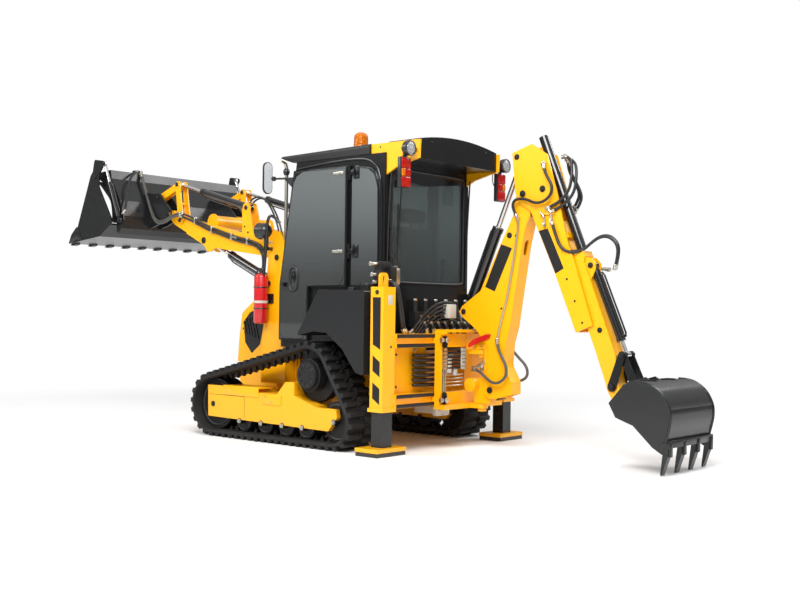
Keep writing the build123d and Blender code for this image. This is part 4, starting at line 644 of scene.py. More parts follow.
def make_tracks():
    """Both rubber tracks: belt, staggered outer lugs, the ridge between them and guide lugs."""
    sizes = settings("sizes")
    lug_height = sizes.lug_height / MM
    legs = loop_legs(lug_height)
    inner = loop_legs(lug_height + BELT_THICKNESS)
    total = sum(radius * (end - start) + run for _, radius, start, end, run in legs)
    inner_total = sum(radius * (end - start) + run for _, radius, start, end, run in inner)
    count = int(total / (sizes.lug_pitch / MM))
    for side, sign in (("left", 1), ("right", -1)):
        low, high = sorted((sign * TRACK_Y[0], sign * TRACK_Y[1]))
        middle = (low + high) / 2
        bm = bmesh.new()
        belt_loop(bm, low, high, lug_height)
        for i in range(count):
            for y_from, y_to, phase in ((low + 4, middle - 10, 0.0), (middle + 10, high - 4, 0.5)):
                place = loop_place(legs, (i + phase) / count * total)
                lug(bm, place, y_from, y_to, 44.0, lug_height, root=-1.0)
                # two low feet that join a lug to its neighbours in the other row
                y_foot = (y_to - 34, y_to - 4) if phase == 0.0 else (y_from + 4, y_from + 34)
                foot = loop_place(legs, (i + phase + 0.27) / count * total)
                lug(bm, foot, *y_foot, 34.0, lug_height * 0.55, root=-1.0, bevel=2.0)
            guide = loop_place(inner, i / count * inner_total)
            for y in (middle - 34, middle + 34):
                lug(bm, guide, y - 15, y + 15, 34.0, -34.0, root=2.0, lean=0.55, bevel=3.0)
        piece = settle("track_rubber_" + side, bm, "chassis", "rubber track")
        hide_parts("track_" + side)


# ------------------------------------------------------------------ hoses and pipes
def smooth_line(name, points, radius, closed=False):
    """Tube along a smooth line through given control points, as a mesh."""
    line = bpy.data.curves.new(name, "CURVE")
    line.dimensions = "3D"
    spline = line.splines.new("NURBS")
    spline.points.add(len(points) - 1)
    for point, (x, y, z) in zip(spline.points, points):
        point.co = (*spot(x, y, z), 1.0)
    spline.order_u = 3
    spline.use_endpoint_u = not closed
    spline.use_cyclic_u = closed
    spline.resolution_u = 8
    line.bevel_depth = radius
    line.bevel_resolution = 4
    line.use_fill_caps = True
    carrier = bpy.data.objects.new(name, line)
    bpy.context.scene.collection.objects.link(carrier)
    bpy.context.view_layer.update()
    mesh = bpy.data.meshes.new_from_object(
        carrier.evaluated_get(bpy.context.evaluated_depsgraph_get()))
    bpy.data.objects.remove(carrier)
    bpy.data.curves.remove(line)
    mesh.shade_smooth()
    return mesh


def add_line(bm, points, radius, closed=False):
    """Put a smooth tube into a bmesh."""
    mesh = smooth_line("line", points, radius, closed)
    bm.from_mesh(mesh)
    bpy.data.meshes.remove(mesh)


def hose_end(bm, tip, before, radius):
    """Crimped sleeve and nut at a hose's end, on the line from the point before it."""
    tip, before = spot(*tip), spot(*before)
    way = (tip - before).normalized()
    bar(bm, tip - way * 0.030, tip - way * 0.004, radius * 1.32, sides=16, bevel=radius * 0.12)
    bar(bm, tip - way * 0.006, tip + way * 0.012, radius * 1.5, sides=6, bevel=radius * 0.12)


BOOM_SIDE = HOE_Y + 74.0
DIPPER_SIDE = HOE_Y + 92.0

# name, bodies, kind, blend from and to, copies, step between copies, points
KINGPOST_BEND = ((-330, 0, 500), (-500, 0, 700))
HOSES = (
    ("boom_foot_loop_left", ("kingpost", "boom"), "braid", KINGPOST_BEND, 1, (0, 0, 0), (
        (-446, BOOM_SIDE + 2, 810), (-452, BOOM_SIDE + 4, 760), (-500, BOOM_SIDE + 14, 690),
        (-548, BOOM_SIDE + 22, 620), (-545, BOOM_SIDE + 26, 545), (-480, BOOM_SIDE + 26, 498),
        (-415, BOOM_SIDE + 22, 500), (-350, BOOM_SIDE + 14, 540), (-290, BOOM_SIDE + 4, 578),
        (-225, BOOM_SIDE - 18, 592))),
    ("boom_foot_loop_right", ("kingpost", "boom"), "braid", KINGPOST_BEND, 1, (0, 0, 0), (
        (-446, HOE_Y - 76, 810), (-452, HOE_Y - 78, 760), (-510, HOE_Y - 96, 690),
        (-580, HOE_Y - 114, 620), (-585, HOE_Y - 122, 545), (-520, HOE_Y - 118, 505),
        (-420, HOE_Y - 104, 505), (-350, HOE_Y - 96, 540), (-290, HOE_Y - 82, 580),
        (-225, HOE_Y - 58, 592))),
    ("boom_pipe_left", ("boom",), "pipe", None, 1, (0, 0, 0), (
        (-611, BOOM_SIDE - 4, 1690), (-618, BOOM_SIDE - 4, 1640), (-606, BOOM_SIDE - 4, 1560),
        (-590, BOOM_SIDE - 4, 1440), (-563, BOOM_SIDE - 4, 1306), (-528, BOOM_SIDE - 4, 1120),
        (-488, BOOM_SIDE - 4, 990), (-460, BOOM_SIDE - 4, 890), (-446, BOOM_SIDE, 806))),
    ("boom_pipe_right", ("boom",), "pipe", None, 1, (0, 0, 0), (
        (-611, HOE_Y - 70, 1690), (-618, HOE_Y - 70, 1640), (-606, HOE_Y - 70, 1560),
        (-590, HOE_Y - 70, 1440), (-563, HOE_Y - 70, 1306), (-528, HOE_Y - 70, 1120),
        (-488, HOE_Y - 70, 990), (-460, HOE_Y - 70, 890), (-446, HOE_Y - 74, 806))),
    ("elbow_loop", ("boom", "dipper"), "hose", ((-640, 0, 1700), (-720, 0, 1960)), 1, (0, 0, 0), (
        (-611, BOOM_SIDE, 1692), (-588, BOOM_SIDE + 6, 1736), (-574, BOOM_SIDE + 14, 1788),
        (-612, BOOM_SIDE + 26, 1826), (-700, BOOM_SIDE + 32, 1822), (-790, BOOM_SIDE + 34, 1782),
        (-868, BOOM_SIDE + 34, 1796), (-922, BOOM_SIDE + 34, 1846), (-920, BOOM_SIDE + 32, 1910),
        (-878, BOOM_SIDE + 30, 1970), (-850, DIPPER_SIDE + 4, 2020), (-840, DIPPER_SIDE, 2052))),
    ("dipper_back_pair", ("dipper",), "hose", None, 2, (-34, -4, -24), (
        (-874, DIPPER_SIDE, 1746), (-937, DIPPER_SIDE - 2, 1768), (-1004, DIPPER_SIDE - 8, 1812),
        (-1044, DIPPER_SIDE - 20, 1872), (-1056, -44, 1945), (-1048, -62, 2022),
        (-1024, -82, 2090), (-968, -98, 2112))),
    ("dipper_back_right", ("dipper",), "hose", None, 2, (-22, 4, -20), (
        (-970, -206, 1749), (-1006, -206, 1800), (-1024, -204, 1856), (-996, -196, 1930),
        (-960, -176, 2000), (-958, -150, 2060), (-974, -130, 2094))),
    ("dipper_run", ("dipper", "inner_dipper"), "hose", ((-1050, 0, 1440), (-1280, 0, 1530)),
     2, (6, -24, 8), (
        (-911, DIPPER_SIDE, 1652), (-932, DIPPER_SIDE, 1600), (-962, DIPPER_SIDE, 1520),
        (-990, DIPPER_SIDE, 1470), (-1030, DIPPER_SIDE - 6, 1440), (-1090, -40, 1430),
        (-1150, -62, 1450), (-1200, -84, 1502), (-1262, -98, 1540), (-1330, -104, 1534),
        (-1384, -108, 1480), (-1388, -108, 1400), (-1366, -106, 1318))),
    ("arm_run", ("chassis", "loader_arms"), "hose", ((1440, 0, 1430), (1640, 0, 1560)),
     2, (10, 0, -24), (
        (1586, 436, 1010), (1580, 440, 1140), (1574, 442, 1280), (1546, 440, 1410),
        (1570, 440, 1512), (1668, 440, 1568), (1860, 440, 1604), (2058, 440, 1656),
        (2303, 440, 1728), (2514, 440, 1816), (2644, 440, 1850))),
    ("tower_drop", ("chassis",), "pipe", None, 2, (26, 0, 0), (
        (1586, 434, 1004), (1590, 400, 950), (1598, 330, 910), (1602, 312, 860), (1600, 310, 720))),
    ("bucket_run", ("loader_arms", "loader_bucket"), "braid", ((2740, 0, 1800), (2960, 0, 1900)),
     2, (-16, 14, -20), (
        (2640, 440, 1852), (2740, 446, 1850), (2861, 456, 1792), (2980, 458, 1790),
        (3066, 450, 1890), (3140, 440, 2020), (3222, 424, 2150), (3290, 410, 2262))),
    ("clam_run", ("loader_bucket",), "small", None, 2, (-16, 0, 4), (
        (3290, 462, 2262), (3250, 520, 2240), (3216, 590, 2170), (3160, 660, 2050),
        (3080, 720, 1900), (3072, 752, 1850))),
    ("tilt_feed", ("chassis", "loader_arms"), "small", ((1440, 0, 1560), (1660, 0, 1800)),
     2, (0, 34, 8), (
        (1420, 350, 1560), (1440, 350, 1640), (1500, 350, 1780), (1590, 352, 1900),
        (1690, 356, 1940), (1770, 358, 1920), (1806, 360, 1886))),
    ("manifold_drop", ("chassis",), "hose", None, 2, (0, 24, 0), (
        (70, 588, 1221), (10, 590, 1230), (-34, 584, 1170), (-36, 560, 1060), (-30, 530, 960),
        (-18, 508, 896), (-4, 470, 866))),
    ("valve_arch", ("chassis",), "small", None, 6, (5, -16, -27), (
        (-20, 440, 862), (-24, 372, 910), (-28, 312, 980), (-30, 222, 1040), (-30, 130, 1076),
        (-30, 40, 1086), (-20, -50, 1080), (0, -130, 1052), (24, -190, 1000))),
    ("valve_drop", ("chassis",), "hose", None, 8, (0, -80, 0), (
        (6, 280, 930), (-22, 280, 926), (-36, 276, 890), (-30, 262, 862))),
    ("coil", ("chassis",), "hose", None, 7, (0, 0, 36), (
        (-60, 126, 476), (-62, 300, 476), (-62, 392, 478), (-36, 420, 480), (-12, 392, 478),
        (-12, 300, 476), (-14, 126, 476))),
    ("carriage_coil", ("carriage",), "hose", None, 6, (0, 0, 27), (
        (-122, 180, 600), (-124, 90, 598), (-130, 30, 602), (-142, -8, 600), (-154, -26, 598))),
)

KINDS = {
    # kind: finish, sizes setting
    "hose": ("rubber hose", "hose"),
    "small": ("rubber hose", "small_hose"),
    "braid": ("hose braid", "hose"),
    "pipe": ("zinc steel", "pipe"),
}


def make_hoses():
    """Every hose and pipe of the table, with crimped ends on the hoses."""
    sizes = settings("sizes")
    for name, bodies, kind, bend, copies, step, points in HOSES:
        finish_name, size_name = KINDS[kind]
        radius = getattr(sizes, size_name)
        bm, ends = bmesh.new(), bmesh.new()
        for i in range(copies):
            line = [tuple(a + i * b for a, b in zip(point, step)) for point in points]
            add_line(bm, line, radius)
            hose_end(ends, line[0], line[1], radius)
            hose_end(ends, line[-1], line[-2], radius)
        for piece in (settle("hose_" + name, bm, bodies[0], finish_name, flat=60),
                      settle("hose_ends_" + name, ends, bodies[0], "zinc steel")):
            if bend:
                piece.parent = None
                del piece["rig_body"]
                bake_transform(piece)


# ------------------------------------------------------------------ rows of small shapes
def block(bm, x, y, z, bevel=2.0):
    """A block given by its limits along each axis."""
    brick(bm, spot(x[0], y[0], z[0]), spot(x[1], y[1], z[1]), bevel * MM)


def rod(bm, start, end, radius, tip=None, bevel=0.0, sides=24):
    """A round bar or cone between two places."""
    bar(bm, spot(*start), spot(*end), radius * MM, None if tip is None else tip * MM, sides,
        bevel * MM)


def hoop(bm, centre, axis, radius, thickness):
    """A round ring about an axis."""
    ring(bm, spot(*centre), Vector(axis), radius * MM, thickness * MM, 40)


def tube(bm, radius, points, closed=False):
    """A smooth thin tube through given control points."""
    add_line(bm, points, radius * MM, closed)


def plate(bm, outline, y, thickness, bevel=0.0):
    """A side-view plate from y, thickened along Y."""
    sheet_metal(bm, [spot(x, y, z) for x, z in outline], Vector((0, thickness * MM, 0)), bevel * MM)


def screen(bm, x, outline, thickness):
    """A plate across the machine from x, given by its (y, z) outline, thickened along X."""
    sheet_metal(bm, [spot(x, y, z) for y, z in outline], Vector((thickness * MM, 0, 0)))


def wrap(bm, outline, y_low, y_high, thickness):
    """A bent plate across the machine that follows a smooth side-view line."""
    knots = [spot(x, y_low, z) for x, z in outline]
    line = [knots[0]]
    for i in range(len(knots) - 1):
        before, after = knots[max(i - 1, 0)], knots[min(i + 2, len(knots) - 1)]
        line += interpolate_bezier(knots[i], knots[i] + (knots[i + 1] - before) / 6,
                                   knots[i + 1] - (after - knots[i]) / 6, knots[i + 1], 9)[1:]
    row = [bm.verts.new(place) for place in line]
    edges = [bm.edges.new(pair) for pair in zip(row, row[1:])]
    grown = bmesh.ops.extrude_edge_only(bm, edges=edges)["geom"]
    bmesh.ops.translate(bm, vec=(0, (y_high - y_low) * MM, 0),
                        verts=[v for v in grown if isinstance(v, bmesh.types.BMVert)])
    bmesh.ops.recalc_face_normals(bm, faces=bm.faces[:])
    bmesh.ops.solidify(bm, geom=bm.faces[:], thickness=thickness * MM)


def pill(bm, x, y, z, corner, bevel=2.0, steps=6):
    """A plate across the machine with rounded corners, given by its limits along each axis."""
    outline = []
    for cy, cz, turn in ((y[1] - corner, z[1] - corner, 0.0), (y[0] + corner, z[1] - corner, 0.5),
                         (y[0] + corner, z[0] + corner, 1.0), (y[1] - corner, z[0] + corner, 1.5)):
        for i in range(steps + 1):
            a = pi * (turn + 0.5 * i / steps)
            outline.append(spot(x[0], cy + corner * cos(a), cz + corner * sin(a)))
    sheet_metal(bm, outline, Vector(((x[1] - x[0]) * MM, 0, 0)), bevel * MM)


def dome(bm, centre, size):
    """A ball or an ellipsoid of three half sizes."""
    bmesh.ops.create_uvsphere(bm, u_segments=28, v_segments=16, radius=1.0,
                              matrix=Matrix.Translation(spot(*centre)) @
                              Matrix.Diagonal((*(s * MM for s in size), 1.0)))


def nuts(bm, places, direction, size):
    """Bolts of one size that face one way."""
    for place in places:
        bolt(bm, spot(*place), Vector(direction), size * MM)


def caps(bm, x, z, y_low, y_high, size):
    """The two ends of a pin that passes from y_low to y_high."""
    pin_cap(bm, spot(x, y_low, z), Vector((0, -1, 0)), size * MM)
    pin_cap(bm, spot(x, y_high, z), Vector((0, 1, 0)), size * MM)


def beside(base, eye, distance, offset, y):
    """Place beside a side-view line: a distance along it and an offset to its left."""
    x, z = along(base, eye, distance)
    reach = hypot(eye[0] - base[0], eye[1] - base[1])
    return (x - offset * (eye[1] - base[1]) / reach, y, z + offset * (eye[0] - base[0]) / reach)


def ram_pipe(bm, base, eye, y, offset, start, end, radius=6.5):
    """Steel pipe beside a ram's barrel, with the blocks it ends in."""
    near = offset * 0.62
    tube(bm, radius, [beside(base, eye, *place, y) for place in (
        (start, near), (start + 4, offset), (start + 40, offset), ((start + end) / 2, offset),
        (end - 40, offset), (end - 4, offset), (end, near))])
    for place in (start, end):
        rod(bm, beside(base, eye, place, near * 0.9, y), beside(base, eye, place, offset * 0.9, y),
            radius * 1.7, sides=6)


def make_rows(rows):
    """Pieces of a table: name, body, finish, slot, mirror plane and shapes."""
    for name, body, finish_name, slot, mirror, shapes in rows:
        bm = bmesh.new()
        for shape, *values in shapes:
            shape(bm, *values)
        if mirror is not None:
            other = bmesh.ops.duplicate(bm, geom=bm.verts[:] + bm.edges[:] + bm.faces[:])["geom"]
            for v in other:
                if isinstance(v, bmesh.types.BMVert):
                    v.co.y = 2 * mirror * MM - v.co.y
        piece = settle(name, bm, body, finish_name)
        if name in STAND_INS:
            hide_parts(STAND_INS[name])


# A row is: name, body, finish, material slot, mirror plane across Y or None, and its shapes.
# A shape is the function that makes it and its values, in millimetres.
SIDES = (1, -1)
HINGE_Z = (2045, 1455)
STRAP_Z = (2046, 1456)
CLAMP_Z = (805, 371)
STAND_INS = {"lamp_housings": "lamps_and_mirrors", "seat_frame": "operator_seat",
             "extinguisher_bottle": "fire_extinguisher"}

# ------------------------------------------------------------------ lamps and mirror
LAMPS = (
    ("lamp_housings", "chassis", "lamp housing", "lamp_plastic", None, (
        (rod, (630, 290, 2242.5), (630, 290, 2258), 62, 59, 2.0),
        (rod, (630, 290, 2256), (630, 290, 2270), 58),
        *((rod, (-84, s * 579, 2164), (-120, s * 579, 2164), 53, 55) for s in SIDES),
        *((rod, (-84, s * 579, 2164), (-52, s * 579, 2164), 53, 24) for s in SIDES),
        *((hoop, (-121, s * 579, 2164), (1, 0, 0), 51, 6) for s in SIDES),
        *((block, (-100, -80), sorted((s * 486.5, s * 545)), (2150, 2178), 1.5) for s in SIDES),
        *((block, (-76, -40), sorted((s * 524, s * 630)), (1884, 2104), 8.0) for s in SIDES),
        *((block, (-72, -52), sorted((s * 566, s * 588)), (2090, 2140), 2.0) for s in SIDES),
        *((tube, 3.5, ((-60, s * 560, 2125), (-40, s * 520, 2120), (-36, s * 508, 2060),
                       (-40, s * 530, 2000), (-48, s * 560, 1985))) for s in SIDES),
        *((rod, (1532, s * 508, 1645), (1474, s * 508, 1645), 66, 62) for s in SIDES),
        *((dome, (1474, s * 508, 1645), (56, 62, 62)) for s in SIDES),
        *((hoop, (1530, s * 508, 1645), (1, 0, 0), 63, 5) for s in SIDES),
        *((block, (1440, 1470), sorted((s * 448.2, s * 522)), (1488, 1514), 2.0) for s in SIDES),
        *((block, (1440, 1470), sorted((s * 494, s * 522)), (1488, 1600), 2.0) for s in SIDES),
        (rod, (1143.7, 470, 2050), (1345, 556, 2050), 8),
        (rod, (1318, 545, 2050), (1345, 556, 2050), 17, 20),
        (pill, (1338, 1354), (556, 650), (1925, 2178), 44, 3.0),
        (plate, ((1130, 2100), (1150, 1960), (1250, 2044), (1250, 2052), (1150, 2052)), 500, 6),
    )),
    # the mirror glass's pale grey finish is a painted reflection
    ("mirror_glass", "chassis", "mirror face", "chrome", None, (
        (pill, (1334.5, 1338.5), (562, 644), (1932, 2171), 39, 0.8),)),
    ("beacon_dome", "chassis", "amber lens", "lamp_plastic", None, (
        (rod, (630, 290, 2268), (630, 290, 2352), 56, 53), (dome, (630, 290, 2350), (53, 53, 36)),
        *((hoop, (630, 290, z), (0, 0, 1), r, 1.6) for z,
          r in ((2290, 55.4), (2312, 54.6), (2334, 53.8))))),
    ("beacon_reflector", "chassis", "chrome", "chrome", None, (
        (rod, (630, 290, 2272), (630, 290, 2300), 10), (dome, (630, 290, 2320), (26, 34, 30)))),
    ("work_lamp_glasses", "chassis", "clear lens", "lamp_plastic", 0.0, (
        (rod, (-118, 579, 2164), (-125, 579, 2164), 47, 44),
        (dome, (-121, 579, 2164), (11, 45, 45)),
        (rod, (1530, 508, 1645), (1536, 508, 1645), 60, 57),
        (dome, (1533, 508, 1645), (10, 57, 57)))),
    ("work_lamp_bowls", "chassis", "chrome", "chrome", 0.0, (
        (rod, (-117.5, 579, 2164), (-110, 579, 2164), 46, 14),
        (rod, (1529, 508, 1645), (1520, 508, 1645), 59, 20))),
    ("tail_lamps_amber", "chassis", "amber lens", "lamp_plastic", 0.0, (
        (block, (-86, -74), (588, 624), (1966, 2022), 5.0),)),
    ("tail_lamps_red", "chassis", "red lens", "lamp_plastic", 0.0, (
        *((block, (-86, -74), (530, high), z, 5.0)
          for high, z in ((624, (2025, 2098)), (585, (1966, 2022)), (624, (1890, 1963)))),)),
)

# ------------------------------------------------------------------ cab
CAB = (
    ("door_seal", "door", "rubber hose", "rubber", None, (
        (tube, 4.5, ((560, 527, 1204), (700, 527, 1204), (945, 527, 1204), (964, 527, 1190),
                     (964, 527, 1000), (964, 527, 789), (1100, 527, 789), (1258, 527, 789),
                     (1258, 527, 1000), (1258, 527, 1210), (1190, 527, 1640), (1114, 527, 2070),
                     (1100, 527, 2086), (800, 527, 2086), (576, 527, 2086), (560, 527, 2070),
                     (560, 527, 1600)), True),)),
    ("door_pane_skin", "door", "smoked glass", "cab_glass", None, (
        (plate, ((560, 1202), (960, 1202), (960, 787), (1261, 787), (1261, 1212), (1150, 1900),
                 (1128, 1990), (1090, 2050), (1020, 2084), (940, 2092), (560, 2092)), 526.4, 3.2),
                 )),
    ("quarter_pane_skin", "chassis", "smoked glass", "cab_glass", None, (
        (plate, ((516, 1202), (516, 2074), (440, 2074), (350, 2060), (290, 2010), (262, 1920),
                 (256, 1600), (254, 1202)), 500.4, 3.2),)),
    # a dark gloss plate across the top of the rear pane: a painted reflection of the visor
    ("rear_shade", "chassis", "gloss black", "black_paint", None, (
        (screen, 184, ((425, 2060), (425, 2012), (60, 1960), (-425, 2014), (-425, 2060)), 3.0),)),
    ("side_arches", "chassis", "gloss black", "black_paint", 0.0, (
        (tube, 9.0, ((1112, 503, 2112), (800, 503, 2140), (520, 503, 2146), (360, 503, 2138),
                     (262, 503, 2080), (222, 503, 1960), (214, 503, 1700), (212, 503, 1190))),
        (tube, 5.0, ((480, 502, 2080), (350, 502, 2078), (268, 502, 2030), (250, 502, 1900),
                     (247, 502, 1600), (247, 502, 1230))))),
    ("rear_window_seal", "chassis", "rubber hose", "rubber", None, (
        (tube, 8.0, ((187, -428, 1224), (187, 0, 1224), (187, 428, 1224), (187, 434, 1260),
                     (187, 434, 1650), (187, 434, 2040), (187, 428, 2064), (187, 0, 2064),
                     (187, -428, 2064), (187, -434, 2040), (187, -434, 1650), (187, -434, 1260)),
                     True),
        (tube, 6.0, ((186, -470, 1200), (180, -474, 1700), (150, -470, 2050))),
        (tube, 6.0, ((186, 470, 1200), (180, 474, 1700), (150, 470, 2050))))),
    ("rear_wiper", "chassis", "lamp housing", "black_paint", None, (
        (block, (150, 186), (330, 400), (1930, 1976), 6.0),
        (rod, (158, 350, 1940), (164, 372, 1480), 6, 4),
        (block, (166, 176), (362, 376), (1380, 1800), 2.0),
        (tube, 5.0, ((176, 420, 2060), (168, 440, 1960), (172, 430, 1800), (168, 446, 1640),
                     (174, 430, 1500), (182, 440, 1300))),
        *((block, (168, 188), (424, 446), (z, z + 22), 2.0) for z in (1980, 1790, 1600, 1400)))),
    ("door_straps", "door", "zinc steel", "steel", None, (
        *((block, (585, 690), (526, 532), (z - 11, z + 11), 2.0) for z in STRAP_Z),
        *((rod, (x, 531, z), (x, 541, z), r, None, 1.5) for z in STRAP_Z for x,
          r in ((612, 13), (672, 9))))),
    ("door_handle_ring", "door", "dark steel", "chrome", None, (
        (tube, 9.0, ((1108, 533, 1350), (1148, 533, 1334), (1157, 533, 1255), (1148, 533, 1176),
                     (1108, 533, 1160), (1068, 533, 1176), (1059, 533, 1255), (1068, 533, 1334)),
                     True),)),
    ("door_handle_cup", "door", "gloss black", "black_paint", None, (
        (dome, (1108, 524, 1255), (42, 8, 86)),
        (block, (1098, 1118), (526, 538), (1225, 1290), 4.0))),
    ("hinge_plates", "chassis", "paint black", "black_paint", None, (
        *((block, (440, 500), (500.5, 508), (z - 50, z + 50), 3.0) for z in HINGE_Z),
        *((block, (486, 530), (500.5, 520), (z - 16, z + 16), 3.0) for z in HINGE_Z))),
    ("hinge_bolts", "chassis", "dark steel", "steel", None, (
        (nuts, [(458, 508, z + d) for z in HINGE_Z for d in (-32, 32)], (0, 1, 0), 8),
        (nuts, [(-105, y, 2238) for y in (-330, 330)], (-1, 0, 0), 7),
        (nuts, [(-60, 486, 2215), (20, 486, 2215), (250, 486, 2215), (-60, -486, 2215)], (0, 1, 0),
         6))),
    ("filler_caps", "chassis", "panel grey", "black_paint", 0.0, (
        (rod, (170, 700, 1190), (170, 700, 1204), 50, 48, 3.0),
        (hoop, (170, 700, 1186), (0, 0, 1), 49, 3),
        (rod, (170, 700, 1203), (170, 700, 1214), 16, 14, 2.0),
        (rod, (360, 650, 1157), (360, 650, 1180), 30, 28, 3.0),
        (hoop, (360, 650, 1160), (0, 0, 1), 34, 3))),
    ("grab_rail", "chassis", "gloss black", "black_paint", None, (
        (tube, 12.0, ((1290, 515, 1700), (1350, 540, 1770), (1400, 548, 1740), (1412, 540, 1600),
                      (1440, 532, 1400), (1468, 526, 1200), (1480, 490, 1120), (1480, 450, 1100))),
        (block, (1420, 1500), (449, 456), (1060, 1140), 2.0))),
    ("intake_pipe", "chassis", "zinc steel", "steel", None, (
        (tube, 15.0, ((1450, 300, 1470), (1450, 300, 1700), (1450, 300, 1900), (1450, 300, 2130),
                      (1450, 304, 2195), (1450, 330, 2222), (1450, 362, 2230))),)),
    ("intake_clamps", "chassis", "lamp housing", "black_paint", None, (
        (dome, (1450, 302, 2140), (27, 27, 34)),
        (block, (1428, 1472), (284, 309), (1490, 1520), 3.0),
        (rod, (1450, 300, 1466), (1450, 300, 1480), 19))),
    ("seat_frame", "chassis", "lamp housing", "black_paint", None, (
        (block, (400, 720), (-160, 160), (752, 1000), 8.0),
        (block, (345, 790), (-225, 225), (995, 1030), 12.0),
        (block, (300, 345), (-190, 190), (1030, 1640), 14.0),
        *((block, (380, 640), (s - 26, s + 26), (1235, 1275), 12.0) for s in (-262, 262)),
        *((rod, (320, s, 1620), (320, s, 1740), 8) for s in (-60, 60)))),
    ("seat_cushion", "chassis", "seat cloth", "seat_cover", None, (
        (block, (345, 795), (-228, 228), (1030, 1145), 38.0),)),
    ("seat_back_cushion", "chassis", "seat cloth", "seat_cover", None, (
        (block, (338, 440), (-215, 215), (1150, 1660), 36.0),)),
    ("seat_head_cushion", "chassis", "seat cloth", "seat_cover", None, (
        (block, (310, 390), (-130, 130), (1690, 1800), 28.0),)),
    ("console_levers", "chassis", "lamp housing", "black_paint", 0.0, (
        (dome, (310, 335, 1400), (26, 26, 34)), (dome, (720, 335, 1362), (24, 24, 30)),
        (rod, (330, 335, 1130), (330, 335, 1160), 34, 18),
        (rod, (700, 335, 1130), (700, 335, 1160), 34, 18))),
)

# ------------------------------------------------------------------ tracks' frames
HUB = (645.0, 532.0)
FRAME_BOLTS = (709.0, 925.0, 1160.0, 1408.0)
UNDERCARRIAGE = (
    ("hub_covers", "chassis", "cast black", "grey_paint", 0.0, (
        (rod, (HUB[0], 818, HUB[1]), (HUB[0], 830, HUB[1]), 99, 96, 2.0),
        (rod, (HUB[0], 829, HUB[1]), (HUB[0], 834, HUB[1]), 46, 44, 1.5),
        (hoop, (HUB[0], 800, HUB[1]), (0, 1, 0), 116, 5),
        *((rod, (HUB[0] + 186 * cos(a), 646, HUB[1] + 186 * sin(a)),
           (HUB[0] + 186 * cos(a), 708, HUB[1] + 186 * sin(a)), 13)
          for a in (2 * pi * i / 15 for i in range(15))))),
    ("hub_bolts", "chassis", "dark steel", "steel", 0.0, (
        (nuts, [(HUB[0] + 74 * cos(2 * pi * i / 10), 830, HUB[1] + 74 * sin(2 * pi * i / 10))
                for i in range(10)], (0, 1, 0), 9.5),)),
    ("frame_covers", "chassis", "paint yellow low", "yellow_paint", 0.0, (
        (block, (1190, 1600), (660, 806), (398, 411), 2.5),
        (block, (1190, 1600), (798, 807), (335, 408), 2.5),
        (block, (935, 1150), (797, 806), (287, 366), 2.5))),
    ("frame_seams", "chassis", "cast black", "black_paint", 0.0, (
        (block, (1352, 1355), (799, 800.8), (165, 330), 0.3),
        (block, (1356, 1780), (799, 800.8), (330, 333), 0.3))),
    ("frame_bolts", "chassis", "zinc steel", "steel", 0.0, (
        (nuts, [(x, 803, 140) for x in FRAME_BOLTS] + [(385, 803, 205)], (0, 1, 0), 15),
        (nuts, [(968, 806, 345), (1110, 806, 345), (1040, 806, 310)], (0, 1, 0), 6))),
    ("wheel_rims", "chassis", "dark steel", "steel", 0.0, (
        *((hoop, (x, 754, 140), (0, 1, 0), 70, 6) for x in FRAME_BOLTS),
        *((hoop, (x, 754, z), (0, 1, 0), r, 8) for x, z,
          r in ((1730, 255, 170), (385, 205, 125))))),
)

